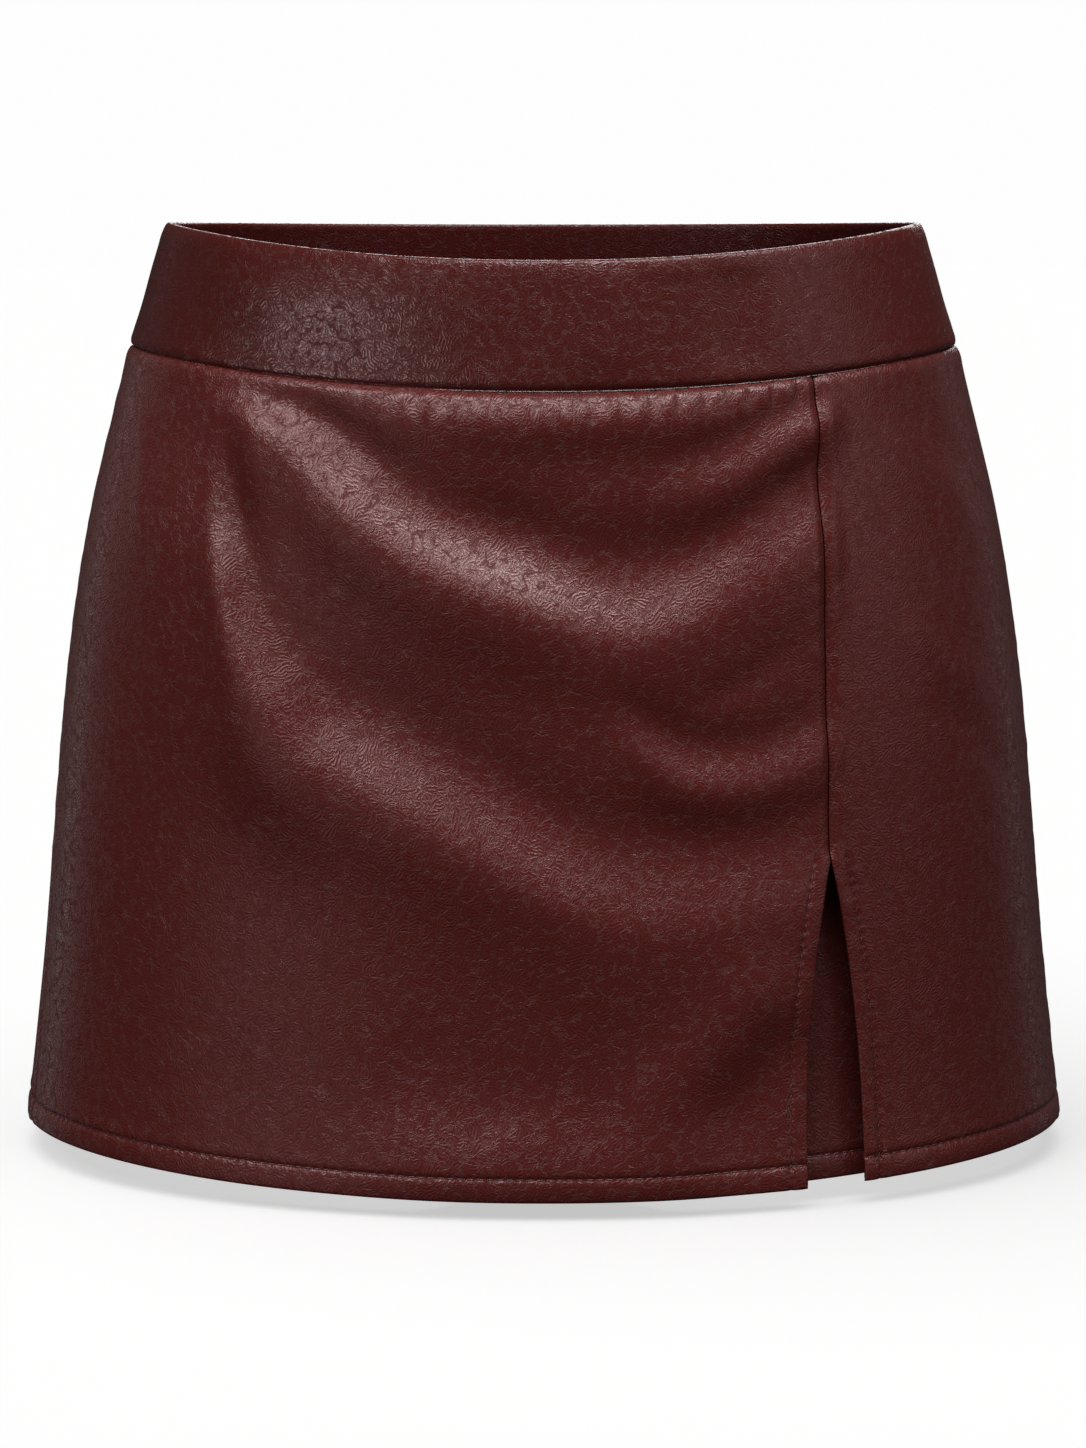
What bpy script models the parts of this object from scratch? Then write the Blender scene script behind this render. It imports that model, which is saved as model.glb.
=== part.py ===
"""A mini skort in burgundy coated cloth: an A-line skirt with a thigh slit over attached shorts.

It is built from the pieces that are cut and sewn: a waistband in two pieces, a front in two
panels that part at the slit, one back panel, four shorts pieces, and a concealed zip in the
wearer's left side seam. Each piece of cloth is a closed wall between two grids of points that
lie on one body form. The form is a stack of level rings, and a ring's sizes are read at its
drop below the top edge at the sides.

+X is the wearer's left, -Y is the front and +Z is up. The origin is the centre of the waistband
at half its depth. Lengths are in metres. Angles are in degrees, round the body from the centre
front towards the wearer's left.
"""

import math
from collections import namedtuple

import bmesh
import bpy
from mathutils import Matrix, Vector

# ---------------------------------------------------------------- the body form

SIDE_TOP_Z = 0.022          # height of the waistband's top edge at the sides
BAND_DROP = 0.0445          # depth of the waistband
HEM_DROP = 0.3215           # side length, top edge to hem
SHORTS_DROP = 0.3212        # side length of the shorts
RING_POWER = 2.1            # 2 gives ellipses, more gives squarer rings

Ring = namedtuple("Ring", "drop half_width front_depth back_depth")
RINGS = (
    Ring(0.0000, 0.1372, 0.0980, 0.1070),   # top edge
    Ring(0.0150, 0.1418, 0.0997, 0.1090),
    Ring(0.0300, 0.1459, 0.1014, 0.1111),
    Ring(0.0445, 0.1504, 0.1030, 0.1130),   # waistband seam
    Ring(0.0600, 0.1542, 0.1053, 0.1158),
    Ring(0.0800, 0.1591, 0.1080, 0.1190),
    Ring(0.1000, 0.1637, 0.1103, 0.1221),
    Ring(0.1250, 0.1682, 0.1130, 0.1260),
    Ring(0.1500, 0.1716, 0.1155, 0.1282),
    Ring(0.1750, 0.1742, 0.1180, 0.1300),   # fullest hip
    Ring(0.2000, 0.1763, 0.1200, 0.1307),
    Ring(0.2300, 0.1786, 0.1225, 0.1315),
    Ring(0.2600, 0.1809, 0.1252, 0.1322),
    Ring(0.2900, 0.1838, 0.1281, 0.1330),
    Ring(0.3215, 0.1871, 0.1330, 0.1340),   # hem
)

# how far a ring drops at the centre front and the centre back; more power, the nearer the centre
Dip = namedtuple("Dip", "drop front back power")
DIPS = (Dip(0.0445, 0.0130, 0.0009, 2.0), Dip(0.3215, 0.0046, 0.0020, 3.0))

# ---------------------------------------------------------------- cloth and seams

SEAM_GAP = 0.0003           # between the edges of two sewn pieces, and between two layers
BAND_WALL = 0.0025          # waistband: outer cloth, its own facing and the turnings
SKIRT_WALL = 0.0012
SHORTS_WALL = 0.0010
HEM_WALL = 0.0022           # where an edge is turned back and sewn down
HEM_TURN = 0.0090           # width of the turned edge
HEM_STEP = 0.0005           # run of the step where the turned edge ends
EDGE_ROLL = 0.0005          # how far a sewn edge dips into its seam
ROLL_WIDTH = 0.0022

Seam = namedtuple("Seam", "drop angle")
ZIP_SEAM = (                # wearer's left side, slanting forward towards the hem
    Seam(0.000, 98.0), Seam(0.045, 96.0), Seam(0.140, 90.0), Seam(0.211, 85.2), Seam(0.3215, 81.0),
)
PLAIN_SEAM = (              # wearer's right side
    Seam(0.000, -90.0), Seam(0.045, -88.5), Seam(0.080, -86.0), Seam(0.180, -82.0),
    Seam(0.260, -78.6), Seam(0.3215, -76.5),
)

SlitSeam = namedtuple("SlitSeam", "drop across")
SLIT_SEAM = (               # from the waistband to the top of the slit, measured across from x = 0
    SlitSeam(0.0445, 0.0935), SlitSeam(0.0950, 0.0955), SlitSeam(0.1300, 0.0964),
    SlitSeam(0.1550, 0.0970), SlitSeam(0.2180, 0.0979), SlitSeam(0.3215, 0.0979),
)
SLIT_TOP = 0.212            # drop at which the slit opens
SLIT_FRONT_SPREAD = 0.0088  # how far the main panel's edge has swung away at the hem
SLIT_FRONT_CURVE = 3.0
SLIT_SIDE_SPREAD = 0.0107   # and the side panel's edge
SLIT_SIDE_CURVE = 2.0

# ---------------------------------------------------------------- folds of the skirt

# A fold is a soft ridge with a trough above it. Its path gives the crest's drop at each angle,
# and the share of the fold's height there.
Fold = namedtuple("Fold", "height above below path")
Crest = namedtuple("Crest", "angle drop share")
TROUGH_SHARE = 0.65         # a trough's depth, of its ridge's height
FOLD_TOP = (0.045, 0.060)   # folds grow between these drops, below the waistband
FOLD_FOOT = (0.290, 0.322)  # and fade between these, above the hem
FOLDS = (
    # the upper and the lower swag, from the wearer's right hip to the slit's seam
    Fold(0.0048, 0.0125, 0.0240, (
        Crest(-50.8, 0.051, 0), Crest(-44.2, 0.058, 0.5), Crest(-37.8, 0.067, 1),
        Crest(-31.2, 0.076, 1), Crest(-24.5, 0.090, 1), Crest(-15.8, 0.107, 1),
        Crest(-5, 0.120, 1), Crest(6.5, 0.133, 0.85), Crest(12.2, 0.134, 0.75),
        Crest(19.5, 0.127, 0.62), Crest(25.8, 0.117, 0.62), Crest(33, 0.106, 0.6),
        Crest(38.8, 0.099, 0))),
    Fold(0.0044, 0.0165, 0.0340, (
        Crest(-45.8, 0.092, 0), Crest(-40.5, 0.120, 0.6), Crest(-36, 0.146, 1),
        Crest(-28, 0.176, 1), Crest(-15.8, 0.195, 0.95), Crest(-4.8, 0.213, 0.9),
        Crest(6, 0.232, 0.85), Crest(17, 0.234, 0.75), Crest(26.2, 0.231, 0.6),
        Crest(30.5, 0.230, 0.4), Crest(35, 0.230, 0))),
    # short ones above and between them, near the slit's seam
    Fold(0.0027, 0.0075, 0.0110, (
        Crest(11.8, 0.088, 0), Crest(18, 0.083, 0.35), Crest(24, 0.078, 0.65),
        Crest(30.5, 0.070, 1), Crest(36.2, 0.064, 1), Crest(41.8, 0.059, 0))),
    Fold(0.0024, 0.0085, 0.0130, (
        Crest(5.2, 0.164, 0), Crest(10.8, 0.174, 0.6), Crest(16.2, 0.184, 1),
        Crest(23.2, 0.186, 1), Crest(28.2, 0.183, 0.8), Crest(31.5, 0.179, 0.6),
        Crest(35.5, 0.174, 0))),
    # the wearer's left hip
    Fold(0.0005, 0.0100, 0.0150, (
        Crest(39, 0.062, 0), Crest(52, 0.077, 1), Crest(64, 0.098, 1), Crest(79, 0.136, 0))),
    # the back swags, uneven like those in front
    Fold(0.0030, 0.0120, 0.0170, (
        Crest(115, 0.066, 0), Crest(129, 0.083, 0.9), Crest(144, 0.104, 1),
        Crest(168, 0.128, 1), Crest(192, 0.132, 0.9), Crest(216, 0.112, 0.9),
        Crest(231, 0.092, 0.7), Crest(245, 0.070, 0))),
    Fold(0.0028, 0.0140, 0.0190, (
        Crest(125, 0.134, 0), Crest(139, 0.161, 0.9), Crest(152, 0.180, 1),
        Crest(178, 0.204, 0.9), Crest(206, 0.206, 1), Crest(232, 0.172, 0.9),
        Crest(241, 0.153, 0.6), Crest(255, 0.120, 0))),
    Fold(0.0014, 0.0090, 0.0120, (
        Crest(157, 0.163, 0), Crest(171, 0.169, 1), Crest(182, 0.172, 1), Crest(195, 0.164, 1),
        Crest(209, 0.156, 0))),
)

# ---------------------------------------------------------------- the shorts

# room: from the skirt's form in to the shorts' face. inseam: from x = 0, at least half a gap.
Leg = namedtuple("Leg", "drop room inseam")
LEGS = (
    Leg(0.0445, 0.0018, 0.0),
    Leg(0.0600, 0.0054, 0.0),
    Leg(0.0800, 0.0074, 0.0),
    Leg(0.1100, 0.0078, 0.0),
    Leg(0.1500, 0.0078, 0.0),
    Leg(0.2280, 0.0079, 0.0),
    Leg(0.2360, 0.0080, 0.0012),
    Leg(0.2700, 0.0084, 0.0042),
    Leg(0.3212, 0.0088, 0.0070),
)
LEG_ROUND = 0.042           # half width over which a leg's inner side is rounded
SPLIT_TOP = 0.090           # above this drop the two halves form one ring
CROTCH_DROP = 0.228         # below it each leg is a ring of its own
CROTCH_CURVE = 1.5

# ---------------------------------------------------------------- the zip

ZIP_TOP = 0.0123            # drop of the top of the closed chain
ZIP_END = 0.2120            # drop of its bottom stop
ZIP_HALF_WIDTH = 0.0062
ZIP_WALL = 0.0008
ZIP_GAP = 0.0004            # between the chain and the skirt's inner face
ZIP_ROOM = 0.0066           # how far facing and shorts are set back from the seam beside it
ZIP_PULL_IN = (0.016, 0.060)    # the shorts follow the skirt this near the zip, and leave it here
ZIP_LAYER_GAP = 0.0006      # between the skirt's inner face and the shorts there
ZIP_LET_GO = 0.030          # length below the zip's end over which they leave it
SLOT_HALF_WIDTH = 0.0010    # the seam stands open this far for the slider's bridge
SLOT_END = (0.0120, 0.0160)     # and closes between these drops

SLIDER_DROP = 0.0070
SLIDER_SIZE = (0.0060, 0.0026, 0.0080)  # across the seam, through the wall, along the seam
BRIDGE_WIDTH = 0.0012       # across the seam
BRIDGE_BAR = 0.0008         # thickness of its bar
BRIDGE_HALF_SPAN = 0.0022   # from its middle to the middle of a leg
BRIDGE_REACH = 0.0024       # from the cloth's face to the middle of the outer bar
PIVOT_OUT = 0.0010          # the pull tab's axis, from the cloth's face
PULL_WALL = 0.0008
PULL_LENGTH = 0.0170
PULL_HEAD = 0.0006          # from the axis to the top of the tab
EYE_HALF_WIDTH = 0.0010
EYE_END = 0.0040
PULL_NECK = 0.0020          # half widths of the tab
PULL_FOOT = 0.0027
PULL_SIDES = 12             # points down each side of its outline

# ---------------------------------------------------------------- colours

BURGUNDY = (0.066, 0.0120, 0.0115)
BURGUNDY_INSIDE = (0.050, 0.0092, 0.0090)
ZIP_CLOTH = (0.040, 0.0085, 0.0090)
LACQUER = (0.052, 0.0100, 0.0100)


def smooth(start, end, at):
    """0 before start, 1 after end and a soft step between."""
    t = min(1.0, max(0.0, (at - start) / (end - start)))
    return t * t * (3.0 - 2.0 * t)


def curve(points, at):
    """The value at a place, on a smooth curve through (place, value) pairs in rising order."""
    if at <= points[0][0]:
        return points[0][1]
    if at >= points[-1][0]:
        return points[-1][1]
    i = next(n for n in range(1, len(points)) if at <= points[n][0]) - 1

    def slope(n):
        before, after = points[max(n - 1, 0)], points[min(n + 1, len(points) - 1)]
        return (after[1] - before[1]) / (after[0] - before[0])

    (x0, y0), (x1, y1) = points[i], points[i + 1]
    span = x1 - x0
    t = (at - x0) / span
    bend = t * (1.0 - t) * ((1.0 - t) * (slope(i) * span - (y1 - y0))
                            + t * ((y1 - y0) - slope(i + 1) * span))
    return y0 + t * (y1 - y0) + bend


def read(table, column, drop):
    """One column of a table of rows at a drop."""
    return curve([(row.drop, getattr(row, column)) for row in table], drop)


def level(drop, depth_share):
    """Height of a point at a drop. depth_share is -1 at the centre front and 1 at the back."""
    dip = read(DIPS, "front" if depth_share < 0.0 else "back", drop)
    return SIDE_TOP_Z - drop - dip * abs(depth_share) ** read(DIPS, "power", drop)


def shares(angle):
    """A ring's point as shares of its half width and depth."""
    side = math.sin(math.radians(angle))
    ahead = math.cos(math.radians(angle))
    scale = (abs(side) ** RING_POWER + abs(ahead) ** RING_POWER) ** (-1.0 / RING_POWER)
    return scale * side, -scale * ahead


def outward(angle, drop):
    """The level direction that points out of a ring."""
    across, along = shares(angle)
    width = read(RINGS, "half_width", drop)
    depth = read(RINGS, "front_depth" if along < 0.0 else "back_depth", drop)
    return Vector((math.copysign(abs(across) ** (RING_POWER - 1.0) / width, across),
                   math.copysign(abs(along) ** (RING_POWER - 1.0) / depth, along),
                   0.0)).normalized()


def ring_point(angle, drop, out=0.0):
    """A point of the form, moved outward across the ring."""
    across, along = shares(angle)
    width = read(RINGS, "half_width", drop)
    depth = read(RINGS, "front_depth" if along < 0.0 else "back_depth", drop)
    point = Vector((width * across, depth * along, level(drop, along)))
    return point + outward(angle, drop) * out if out else point


def along_ring(angle, drop, distance):
    """The angle a distance further round a ring."""
    if distance == 0.0:
        return angle
    here = ring_point(angle, drop)
    turn = math.copysign(0.5, distance)
    for _ in range(4):
        turn *= abs(distance) / (ring_point(angle + turn, drop) - here).length
    return angle + turn


def angle_across(across, drop):
    """The angle at which the front lies a given way across from the centre plane."""
    low, high = 0.0, 89.0
    for _ in range(30):
        middle = (low + high) / 2.0
        if ring_point(middle, drop).x < across:
            low = middle
        else:
            high = middle
    return low


def fold_height(angle, drop):
    """How far the skirt stands out of its form because of its folds."""
    total = 0.0
    for fold in FOLDS:
        middle = (fold.path[0].angle + fold.path[-1].angle) / 2.0
        near = middle + (angle - middle + 180.0) % 360.0 - 180.0
        share = min(max(curve([(crest.angle, crest.share) for crest in fold.path], near), 0.0), 1.0)
        if share == 0.0:
            continue
        off = drop - curve([(crest.angle, crest.drop) for crest in fold.path], near)
        ridge = math.exp(-(off / (fold.below if off > 0.0 else fold.above)) ** 2)
        trough = math.exp(-((off + 2.0 * fold.above) / fold.above) ** 2)
        total += fold.height * share * (ridge - TROUGH_SHARE * trough)
    return total * smooth(*FOLD_TOP, drop) * (1.0 - smooth(*FOLD_FOOT, drop))


# ---------------------------------------------------------------- seam lines, as angles

def zip_line(drop):
    return read(ZIP_SEAM, "angle", drop)


def plain_line(drop):
    return read(PLAIN_SEAM, "angle", drop)


def beside(line, gap):
    """A piece's edge, a gap to one side of a seam line."""
    return lambda drop: along_ring(line(drop), drop, gap)


def beside_slot(side):
    """A waistband edge at the zip, set back at the top where the slider's bridge passes."""
    def edge(drop):
        closed = smooth(*SLOT_END, drop)
        gap = SLOT_HALF_WIDTH + (SEAM_GAP / 2 - SLOT_HALF_WIDTH) * closed
        return beside(zip_line, side * gap)(drop)
    return edge


def slit_edge(spread, power, side):
    """One front panel's edge, down the seam and then along the open slit."""
    def edge(drop):
        along = max(0.0, (drop - SLIT_TOP) / (HEM_DROP - SLIT_TOP))
        swing = spread * (1.0 - (1.0 - along) ** power)
        across = read(SLIT_SEAM, "across", drop) + side * (SEAM_GAP / 2 + swing)
        return angle_across(across, drop)
    return edge


slit_front_edge = slit_edge(SLIT_FRONT_SPREAD, SLIT_FRONT_CURVE, -1)
slit_side_edge = slit_edge(SLIT_SIDE_SPREAD, SLIT_SIDE_CURVE, 1)


def behind(line):
    """The same line, counted on past the centre back."""
    return lambda drop: line(drop) + 360.0


# ---------------------------------------------------------------- making pieces

def finish(name, colour, roughness, metallic=0.0):
    """A plain material for one piece."""
    material = bpy.data.materials.new(name + "_finish")
    material.use_nodes = True
    shader = material.node_tree.nodes["Principled BSDF"]
    shader.inputs["Base Color"].default_value = (*colour, 1.0)
    shader.inputs["Roughness"].default_value = roughness
    shader.inputs["Metallic"].default_value = metallic
    return material


def add_object(name, shape, material):
    """A smooth-shaded object from a closed bmesh."""
    bmesh.ops.recalc_face_normals(shape, faces=shape.faces[:])
    mesh = bpy.data.meshes.new(name)
    shape.to_mesh(mesh)
    shape.free()
    mesh.shade_smooth()
    mesh.set_sharp_from_angle(angle=math.radians(35.0))
    mesh.materials.append(material)
    piece = bpy.data.objects.new(name, mesh)
    bpy.context.scene.collection.objects.link(piece)
    return piece


def add_wall(name, outer, inner, material):
    """A closed wall between two grids of points with the same rows and columns."""
    shape = bmesh.new()
    rows, columns = len(outer), len(outer[0])
    faces = [[[shape.verts.new(point) for point in row] for row in grid] for grid in (outer, inner)]
    for grid in faces:
        for r in range(rows - 1):
            for c in range(columns - 1):
                shape.faces.new((grid[r][c], grid[r][c + 1], grid[r + 1][c + 1], grid[r + 1][c]))
    rim = [(0, c) for c in range(columns)]
    rim += [(r, columns - 1) for r in range(1, rows)]
    rim += [(rows - 1, c) for c in range(columns - 2, -1, -1)]
    rim += [(r, 0) for r in range(rows - 2, 0, -1)]
    for here, there in zip(rim, rim[1:] + rim[:1]):
        shape.faces.new([faces[k][r][c] for k, (r, c) in
                         ((0, here), (0, there), (1, there), (1, here))])
    return add_object(name, shape, material)


def spread(start, end, near, far, count):
    """Places from start to end: set distances inside each end, and even steps between them."""
    first = [start + gap for gap in near]
    last = [end - gap for gap in far]
    step = (last[-1] - first[-1]) / count
    return first + [first[-1] + step * i for i in range(1, count)] + last[::-1]


def edge_gaps(near, far, count):
    """How far each column or row lies from the nearer edge; the middle ones count as far off."""
    return list(near) + [1.0] * (count - 1) + list(far)[::-1]


def roll(distance):
    """How far the face dips near a sewn edge."""
    return EDGE_ROLL * max(0.0, 1.0 - distance / ROLL_WIDTH) ** 2


SEWN = (0.0, ROLL_WIDTH)
TURNED = (0.0, HEM_TURN - HEM_STEP, HEM_TURN)
SLIT_SIDE = (0.0, ROLL_WIDTH, HEM_TURN - HEM_STEP, HEM_TURN)
SHORTS_SIDE = (0.0, 0.0045, 0.0100, 0.0180)
SHORTS_FLAT = 5             # steps from there to the rounded inner side
SHORTS_INNER = 6            # and round it

Panel = namedtuple("Panel", "start end start_gaps end_gaps columns top foot top_gaps foot_gaps rows")


def panel_grids(panel, lift, wall):
    """Outer and inner grids of a panel.

    lift(angle, drop) raises the face. wall(drop, start_gap, end_gap, foot_gap) is the thickness.
    """
    outer, inner = [], []
    drops = spread(panel.top, panel.foot, panel.top_gaps, panel.foot_gaps, panel.rows)
    row_gaps = edge_gaps(panel.top_gaps, [1.0] * len(panel.foot_gaps), panel.rows)
    for drop, top_gap in zip(drops, row_gaps):
        start, end = panel.start(drop), panel.end(drop)
        near = [along_ring(start, drop, gap) - start for gap in panel.start_gaps]
        far = [end - along_ring(end, drop, -gap) for gap in panel.end_gaps]
        angles = spread(start, end, near, far, panel.columns)
        start_gaps = edge_gaps(panel.start_gaps, [1.0] * len(far), panel.columns)
        end_gaps = edge_gaps([1.0] * len(near), panel.end_gaps, panel.columns)
        outer.append([])
        inner.append([])
        for angle, start_gap, end_gap in zip(angles, start_gaps, end_gaps):
            height = lift(angle, drop)
            dip = roll(min(start_gap, end_gap, top_gap))
            thick = wall(drop, start_gap, end_gap, panel.foot - drop)
            outer[-1].append(ring_point(angle, drop, height - dip))
            inner[-1].append(ring_point(angle, drop, height - thick))
    return outer, inner


# ---------------------------------------------------------------- the waistband

def no_lift(_angle, _drop):
    return 0.0


def make_waistband():
    """Two band pieces, cut thinner beside the zip, where the facing stops short of it."""
    beside_zip = (0.0, ZIP_ROOM - HEM_STEP, ZIP_ROOM)

    def front_wall(_drop, _start_gap, end_gap, _foot_gap):
        return SKIRT_WALL if end_gap < ZIP_ROOM else BAND_WALL

    def back_wall(_drop, start_gap, _end_gap, _foot_gap):
        return SKIRT_WALL if start_gap < ZIP_ROOM else BAND_WALL

    rows = dict(top=0.0, foot=BAND_DROP - SEAM_GAP / 2, top_gaps=(*SEWN, *SLOT_END), foot_gaps=SEWN,
                rows=2)
    front = Panel(beside(plain_line, SEAM_GAP / 2), beside_slot(-1), SEWN, beside_zip, 22, **rows)
    back = Panel(beside_slot(1), behind(beside(plain_line, -SEAM_GAP / 2)), beside_zip, SEWN,
                 22, **rows)
    for name, panel, wall in (("waistband_front", front, front_wall),
                              ("waistband_back", back, back_wall)):
        add_wall(name, *panel_grids(panel, no_lift, wall), finish(name, BURGUNDY, 0.38))


# ---------------------------------------------------------------- the skirt's panels

def make_skirt():
    """Front panel, side front panel and back panel, turned up at the hem and the slit."""
    def plain_wall(_drop, _start_gap, _end_gap, foot_gap):
        return HEM_WALL if foot_gap < HEM_TURN - HEM_STEP / 2 else SKIRT_WALL

    def slit_wall(drop, slit_gap, foot_gap):
        turned = slit_gap < HEM_TURN - HEM_STEP / 2 and drop > SLIT_TOP
        return HEM_WALL if turned else plain_wall(drop, 1.0, 1.0, foot_gap)

    def front_wall(drop, _start_gap, end_gap, foot_gap):
        return slit_wall(drop, end_gap, foot_gap)

    def side_wall(drop, start_gap, _end_gap, foot_gap):
        return slit_wall(drop, start_gap, foot_gap)

    rows = dict(top=BAND_DROP + SEAM_GAP / 2, foot=HEM_DROP, top_gaps=SEWN, foot_gaps=TURNED,
                rows=18)
    zip_front = beside(zip_line, -SEAM_GAP / 2)
    zip_back = beside(zip_line, SEAM_GAP / 2)
    plain_front = beside(plain_line, SEAM_GAP / 2)
    plain_back = behind(beside(plain_line, -SEAM_GAP / 2))
    panels = (
        ("front_main_panel", Panel(plain_front, slit_front_edge, SEWN, SLIT_SIDE, 27, **rows),
         front_wall),
        ("front_side_panel", Panel(slit_side_edge, zip_front, SLIT_SIDE, SEWN, 11, **rows),
         side_wall),
        ("back_panel", Panel(zip_back, plain_back, SEWN, SEWN, 32, **rows), plain_wall),
    )
    for name, panel, wall in panels:
        add_wall(name, *panel_grids(panel, fold_height, wall), finish(name, BURGUNDY, 0.36))


# ---------------------------------------------------------------- the shorts

def leg_split(drop):
    """0 where the two halves form one ring, 1 where each leg is a ring of its own."""
    along = min(1.0, max(0.0, (drop - SPLIT_TOP) / (CROTCH_DROP - SPLIT_TOP)))
    return along ** CROTCH_CURVE


def inseam(drop):
    """Distance of a leg's inner edge, or of the centre seam above it, from the centre plane."""
    return max(SEAM_GAP / 2, read(LEGS, "inseam", drop))


def shorts_room(angle, drop):
    """How far the shorts lie inside the form; beside the zip they lie against the skirt."""
    room = read(LEGS, "room", drop)
    if angle < 0.0:
        return room
    away = abs(ring_point(angle, drop).y - ring_point(zip_line(drop), drop).y)
    near = 1.0 - smooth(*ZIP_PULL_IN, away)
    near *= 1.0 - smooth(ZIP_END, ZIP_END + ZIP_LET_GO, drop)
    if near == 0.0:
        return room
    layer = SKIRT_WALL + ZIP_LAYER_GAP - fold_height(angle, drop)
    return room + (layer - room) * near


def shorts_point(angle, inner, drop, out):
    """A point of the shorts. inner grows from 0 to 1 over the rounded inner side of a leg."""
    point = ring_point(angle, drop, -shorts_room(angle, drop))
    normal = outward(angle, drop)
    split = leg_split(drop)
    close = math.sqrt(1.0 - (split * inner) ** 2)
    if inner > 0.0:
        side = math.copysign(1.0, point.x)
        lean = abs(point.y * normal.y) * split ** 2 * inner / LEG_ROUND
        point.x = side * (inseam(drop) + LEG_ROUND * (1.0 - inner))
        normal = Vector((normal.x * close ** 2 - side * lean, normal.y * close, 0.0)).normalized()
    point.y *= close
    point.z = level(drop, shares(angle)[1] * close)
    return point + normal * out


def shorts_columns(drop, side, seat):
    """Pairs of angle and inner share, from the side seam to the centre seam or the inseam."""
    room = SEAM_GAP / 2
    if side > 0:
        room += (ZIP_ROOM - room) * (1.0 - smooth(ZIP_END, ZIP_END + 0.006, drop))
    turn = side if seat else -side
    line = zip_line if side > 0 else plain_line
    start = along_ring(line(drop), drop, turn * room)
    inside = inseam(drop)
    near = [along_ring(start, drop, turn * gap) - start for gap in SHORTS_SIDE]
    middle = angle_across(inside + LEG_ROUND, drop)
    middle = side * (180.0 - middle if seat else middle)
    columns = [(angle, 0.0) for angle in spread(start, middle, near, (0.0,), SHORTS_FLAT)]
    depth = abs(ring_point(middle, drop, -read(LEGS, "room", drop)).y)
    split = leg_split(drop)
    last = math.sqrt(1.0 - (SEAM_GAP / 2 / depth) ** 2) / max(split, 0.5)
    end = math.acos(min(1.0, last))
    for i in range(1, SHORTS_INNER + 1):
        inner = math.cos(math.pi / 2 + (end - math.pi / 2) * i / SHORTS_INNER)
        angle = angle_across(inside + LEG_ROUND * (1.0 - inner), drop)
        columns.append((side * (180.0 - angle if seat else angle), inner))
    return columns


def make_shorts():
    """Four pieces with gaps at the centre seams, side seams and inseams."""
    drops = spread(BAND_DROP + SEAM_GAP, CROTCH_DROP, (0.0, 0.009), (0.0, 0.003, 0.008, 0.016), 8)
    drops += spread(CROTCH_DROP + 0.004, SHORTS_DROP, (0.0,), TURNED, 3)
    for name, side, seat in (("shorts_front_left", 1, False), ("shorts_back_left", 1, True),
                             ("shorts_front_right", -1, False), ("shorts_back_right", -1, True)):
        outer, inner = [], []
        for drop in drops:
            turned = SHORTS_DROP - drop < HEM_TURN - HEM_STEP / 2
            wall = HEM_WALL if turned else SHORTS_WALL
            columns = shorts_columns(drop, side, seat)
            outer.append([shorts_point(*column, drop, 0.0) for column in columns])
            inner.append([shorts_point(*column, drop, -wall) for column in columns])
        add_wall(name, outer, inner, finish(name, BURGUNDY_INSIDE, 0.42))


# ---------------------------------------------------------------- the zip

def make_zip_chain():
    """The closed chain and the strip of tape beside it that shows from inside."""
    drops = [ZIP_TOP + (ZIP_END - ZIP_TOP) * i / 18 for i in range(19)]
    grids = ([], [])
    for grid, depth in zip(grids, (SKIRT_WALL + ZIP_GAP, SKIRT_WALL + ZIP_GAP + ZIP_WALL)):
        for drop in drops:
            places = [along_ring(zip_line(drop), drop, ZIP_HALF_WIDTH * share)
                      for share in (-1.0, -0.5, 0.0, 0.5, 1.0)]
            grid.append([ring_point(place, drop, fold_height(place, drop) - depth)
                         for place in places])
    add_wall("zip_chain", *grids, finish("zip_chain", ZIP_CLOTH, 0.7))


def slider_axes():
    """Frame of the slider on the band's face: X across the seam, Y outward, Z up along it."""
    here = ring_point(zip_line(SLIDER_DROP), SLIDER_DROP)
    above = ring_point(zip_line(SLIDER_DROP - 0.003), SLIDER_DROP - 0.003)
    below = ring_point(zip_line(SLIDER_DROP + 0.003), SLIDER_DROP + 0.003)
    up = (above - below).normalized()
    angle = zip_line(SLIDER_DROP)
    along = ring_point(angle + 0.5, SLIDER_DROP) - ring_point(angle - 0.5, SLIDER_DROP)
    out = along.cross(up).normalized()
    across = out.cross(up)
    axes = Matrix((across, out, up)).transposed().to_4x4()
    axes.translation = here
    return axes


def box(low, high):
    """A bmesh block between two corners."""
    shape = bmesh.new()
    size = [b - a for a, b in zip(low, high)]
    middle = [(a + b) / 2 for a, b in zip(low, high)]
    matrix = Matrix.Translation(middle) @ Matrix.Diagonal((*size, 1.0))
    bmesh.ops.create_cube(shape, size=1.0, matrix=matrix)
    return shape


def make_slider(axes):
    """The slider's body behind the seam, with the bridge that reaches out through it."""
    width, thick, length = SLIDER_SIZE
    back = -(SKIRT_WALL + ZIP_GAP)
    slider = add_object("zip_slider", box((-width / 2, back - thick, -length / 2),
                                          (width / 2, back, length / 2)),
                        finish("zip_slider", LACQUER, 0.35, 0.6))
    slider.matrix_world = axes
    half, bar, reach = BRIDGE_WIDTH / 2, BRIDGE_BAR / 2, BRIDGE_REACH
    legs = [(place - bar, place + bar) for place in (-BRIDGE_HALF_SPAN, BRIDGE_HALF_SPAN)]
    blocks = [box((-half, back - thick / 2, low), (half, reach, high)) for low, high in legs]
    blocks.append(box((-half, reach - bar, legs[0][0]), (half, reach + bar, legs[1][1])))
    for number, block in enumerate(blocks):
        guide = add_object(f"bridge_guide_{number}", block, slider.data.materials[0])
        guide.matrix_world = axes
        guide.hide_render = True
        guide.display_type = "WIRE"
        union = slider.modifiers.new(f"bridge_{number}", "BOOLEAN")
        union.operation = "UNION"
        union.object = guide


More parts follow.
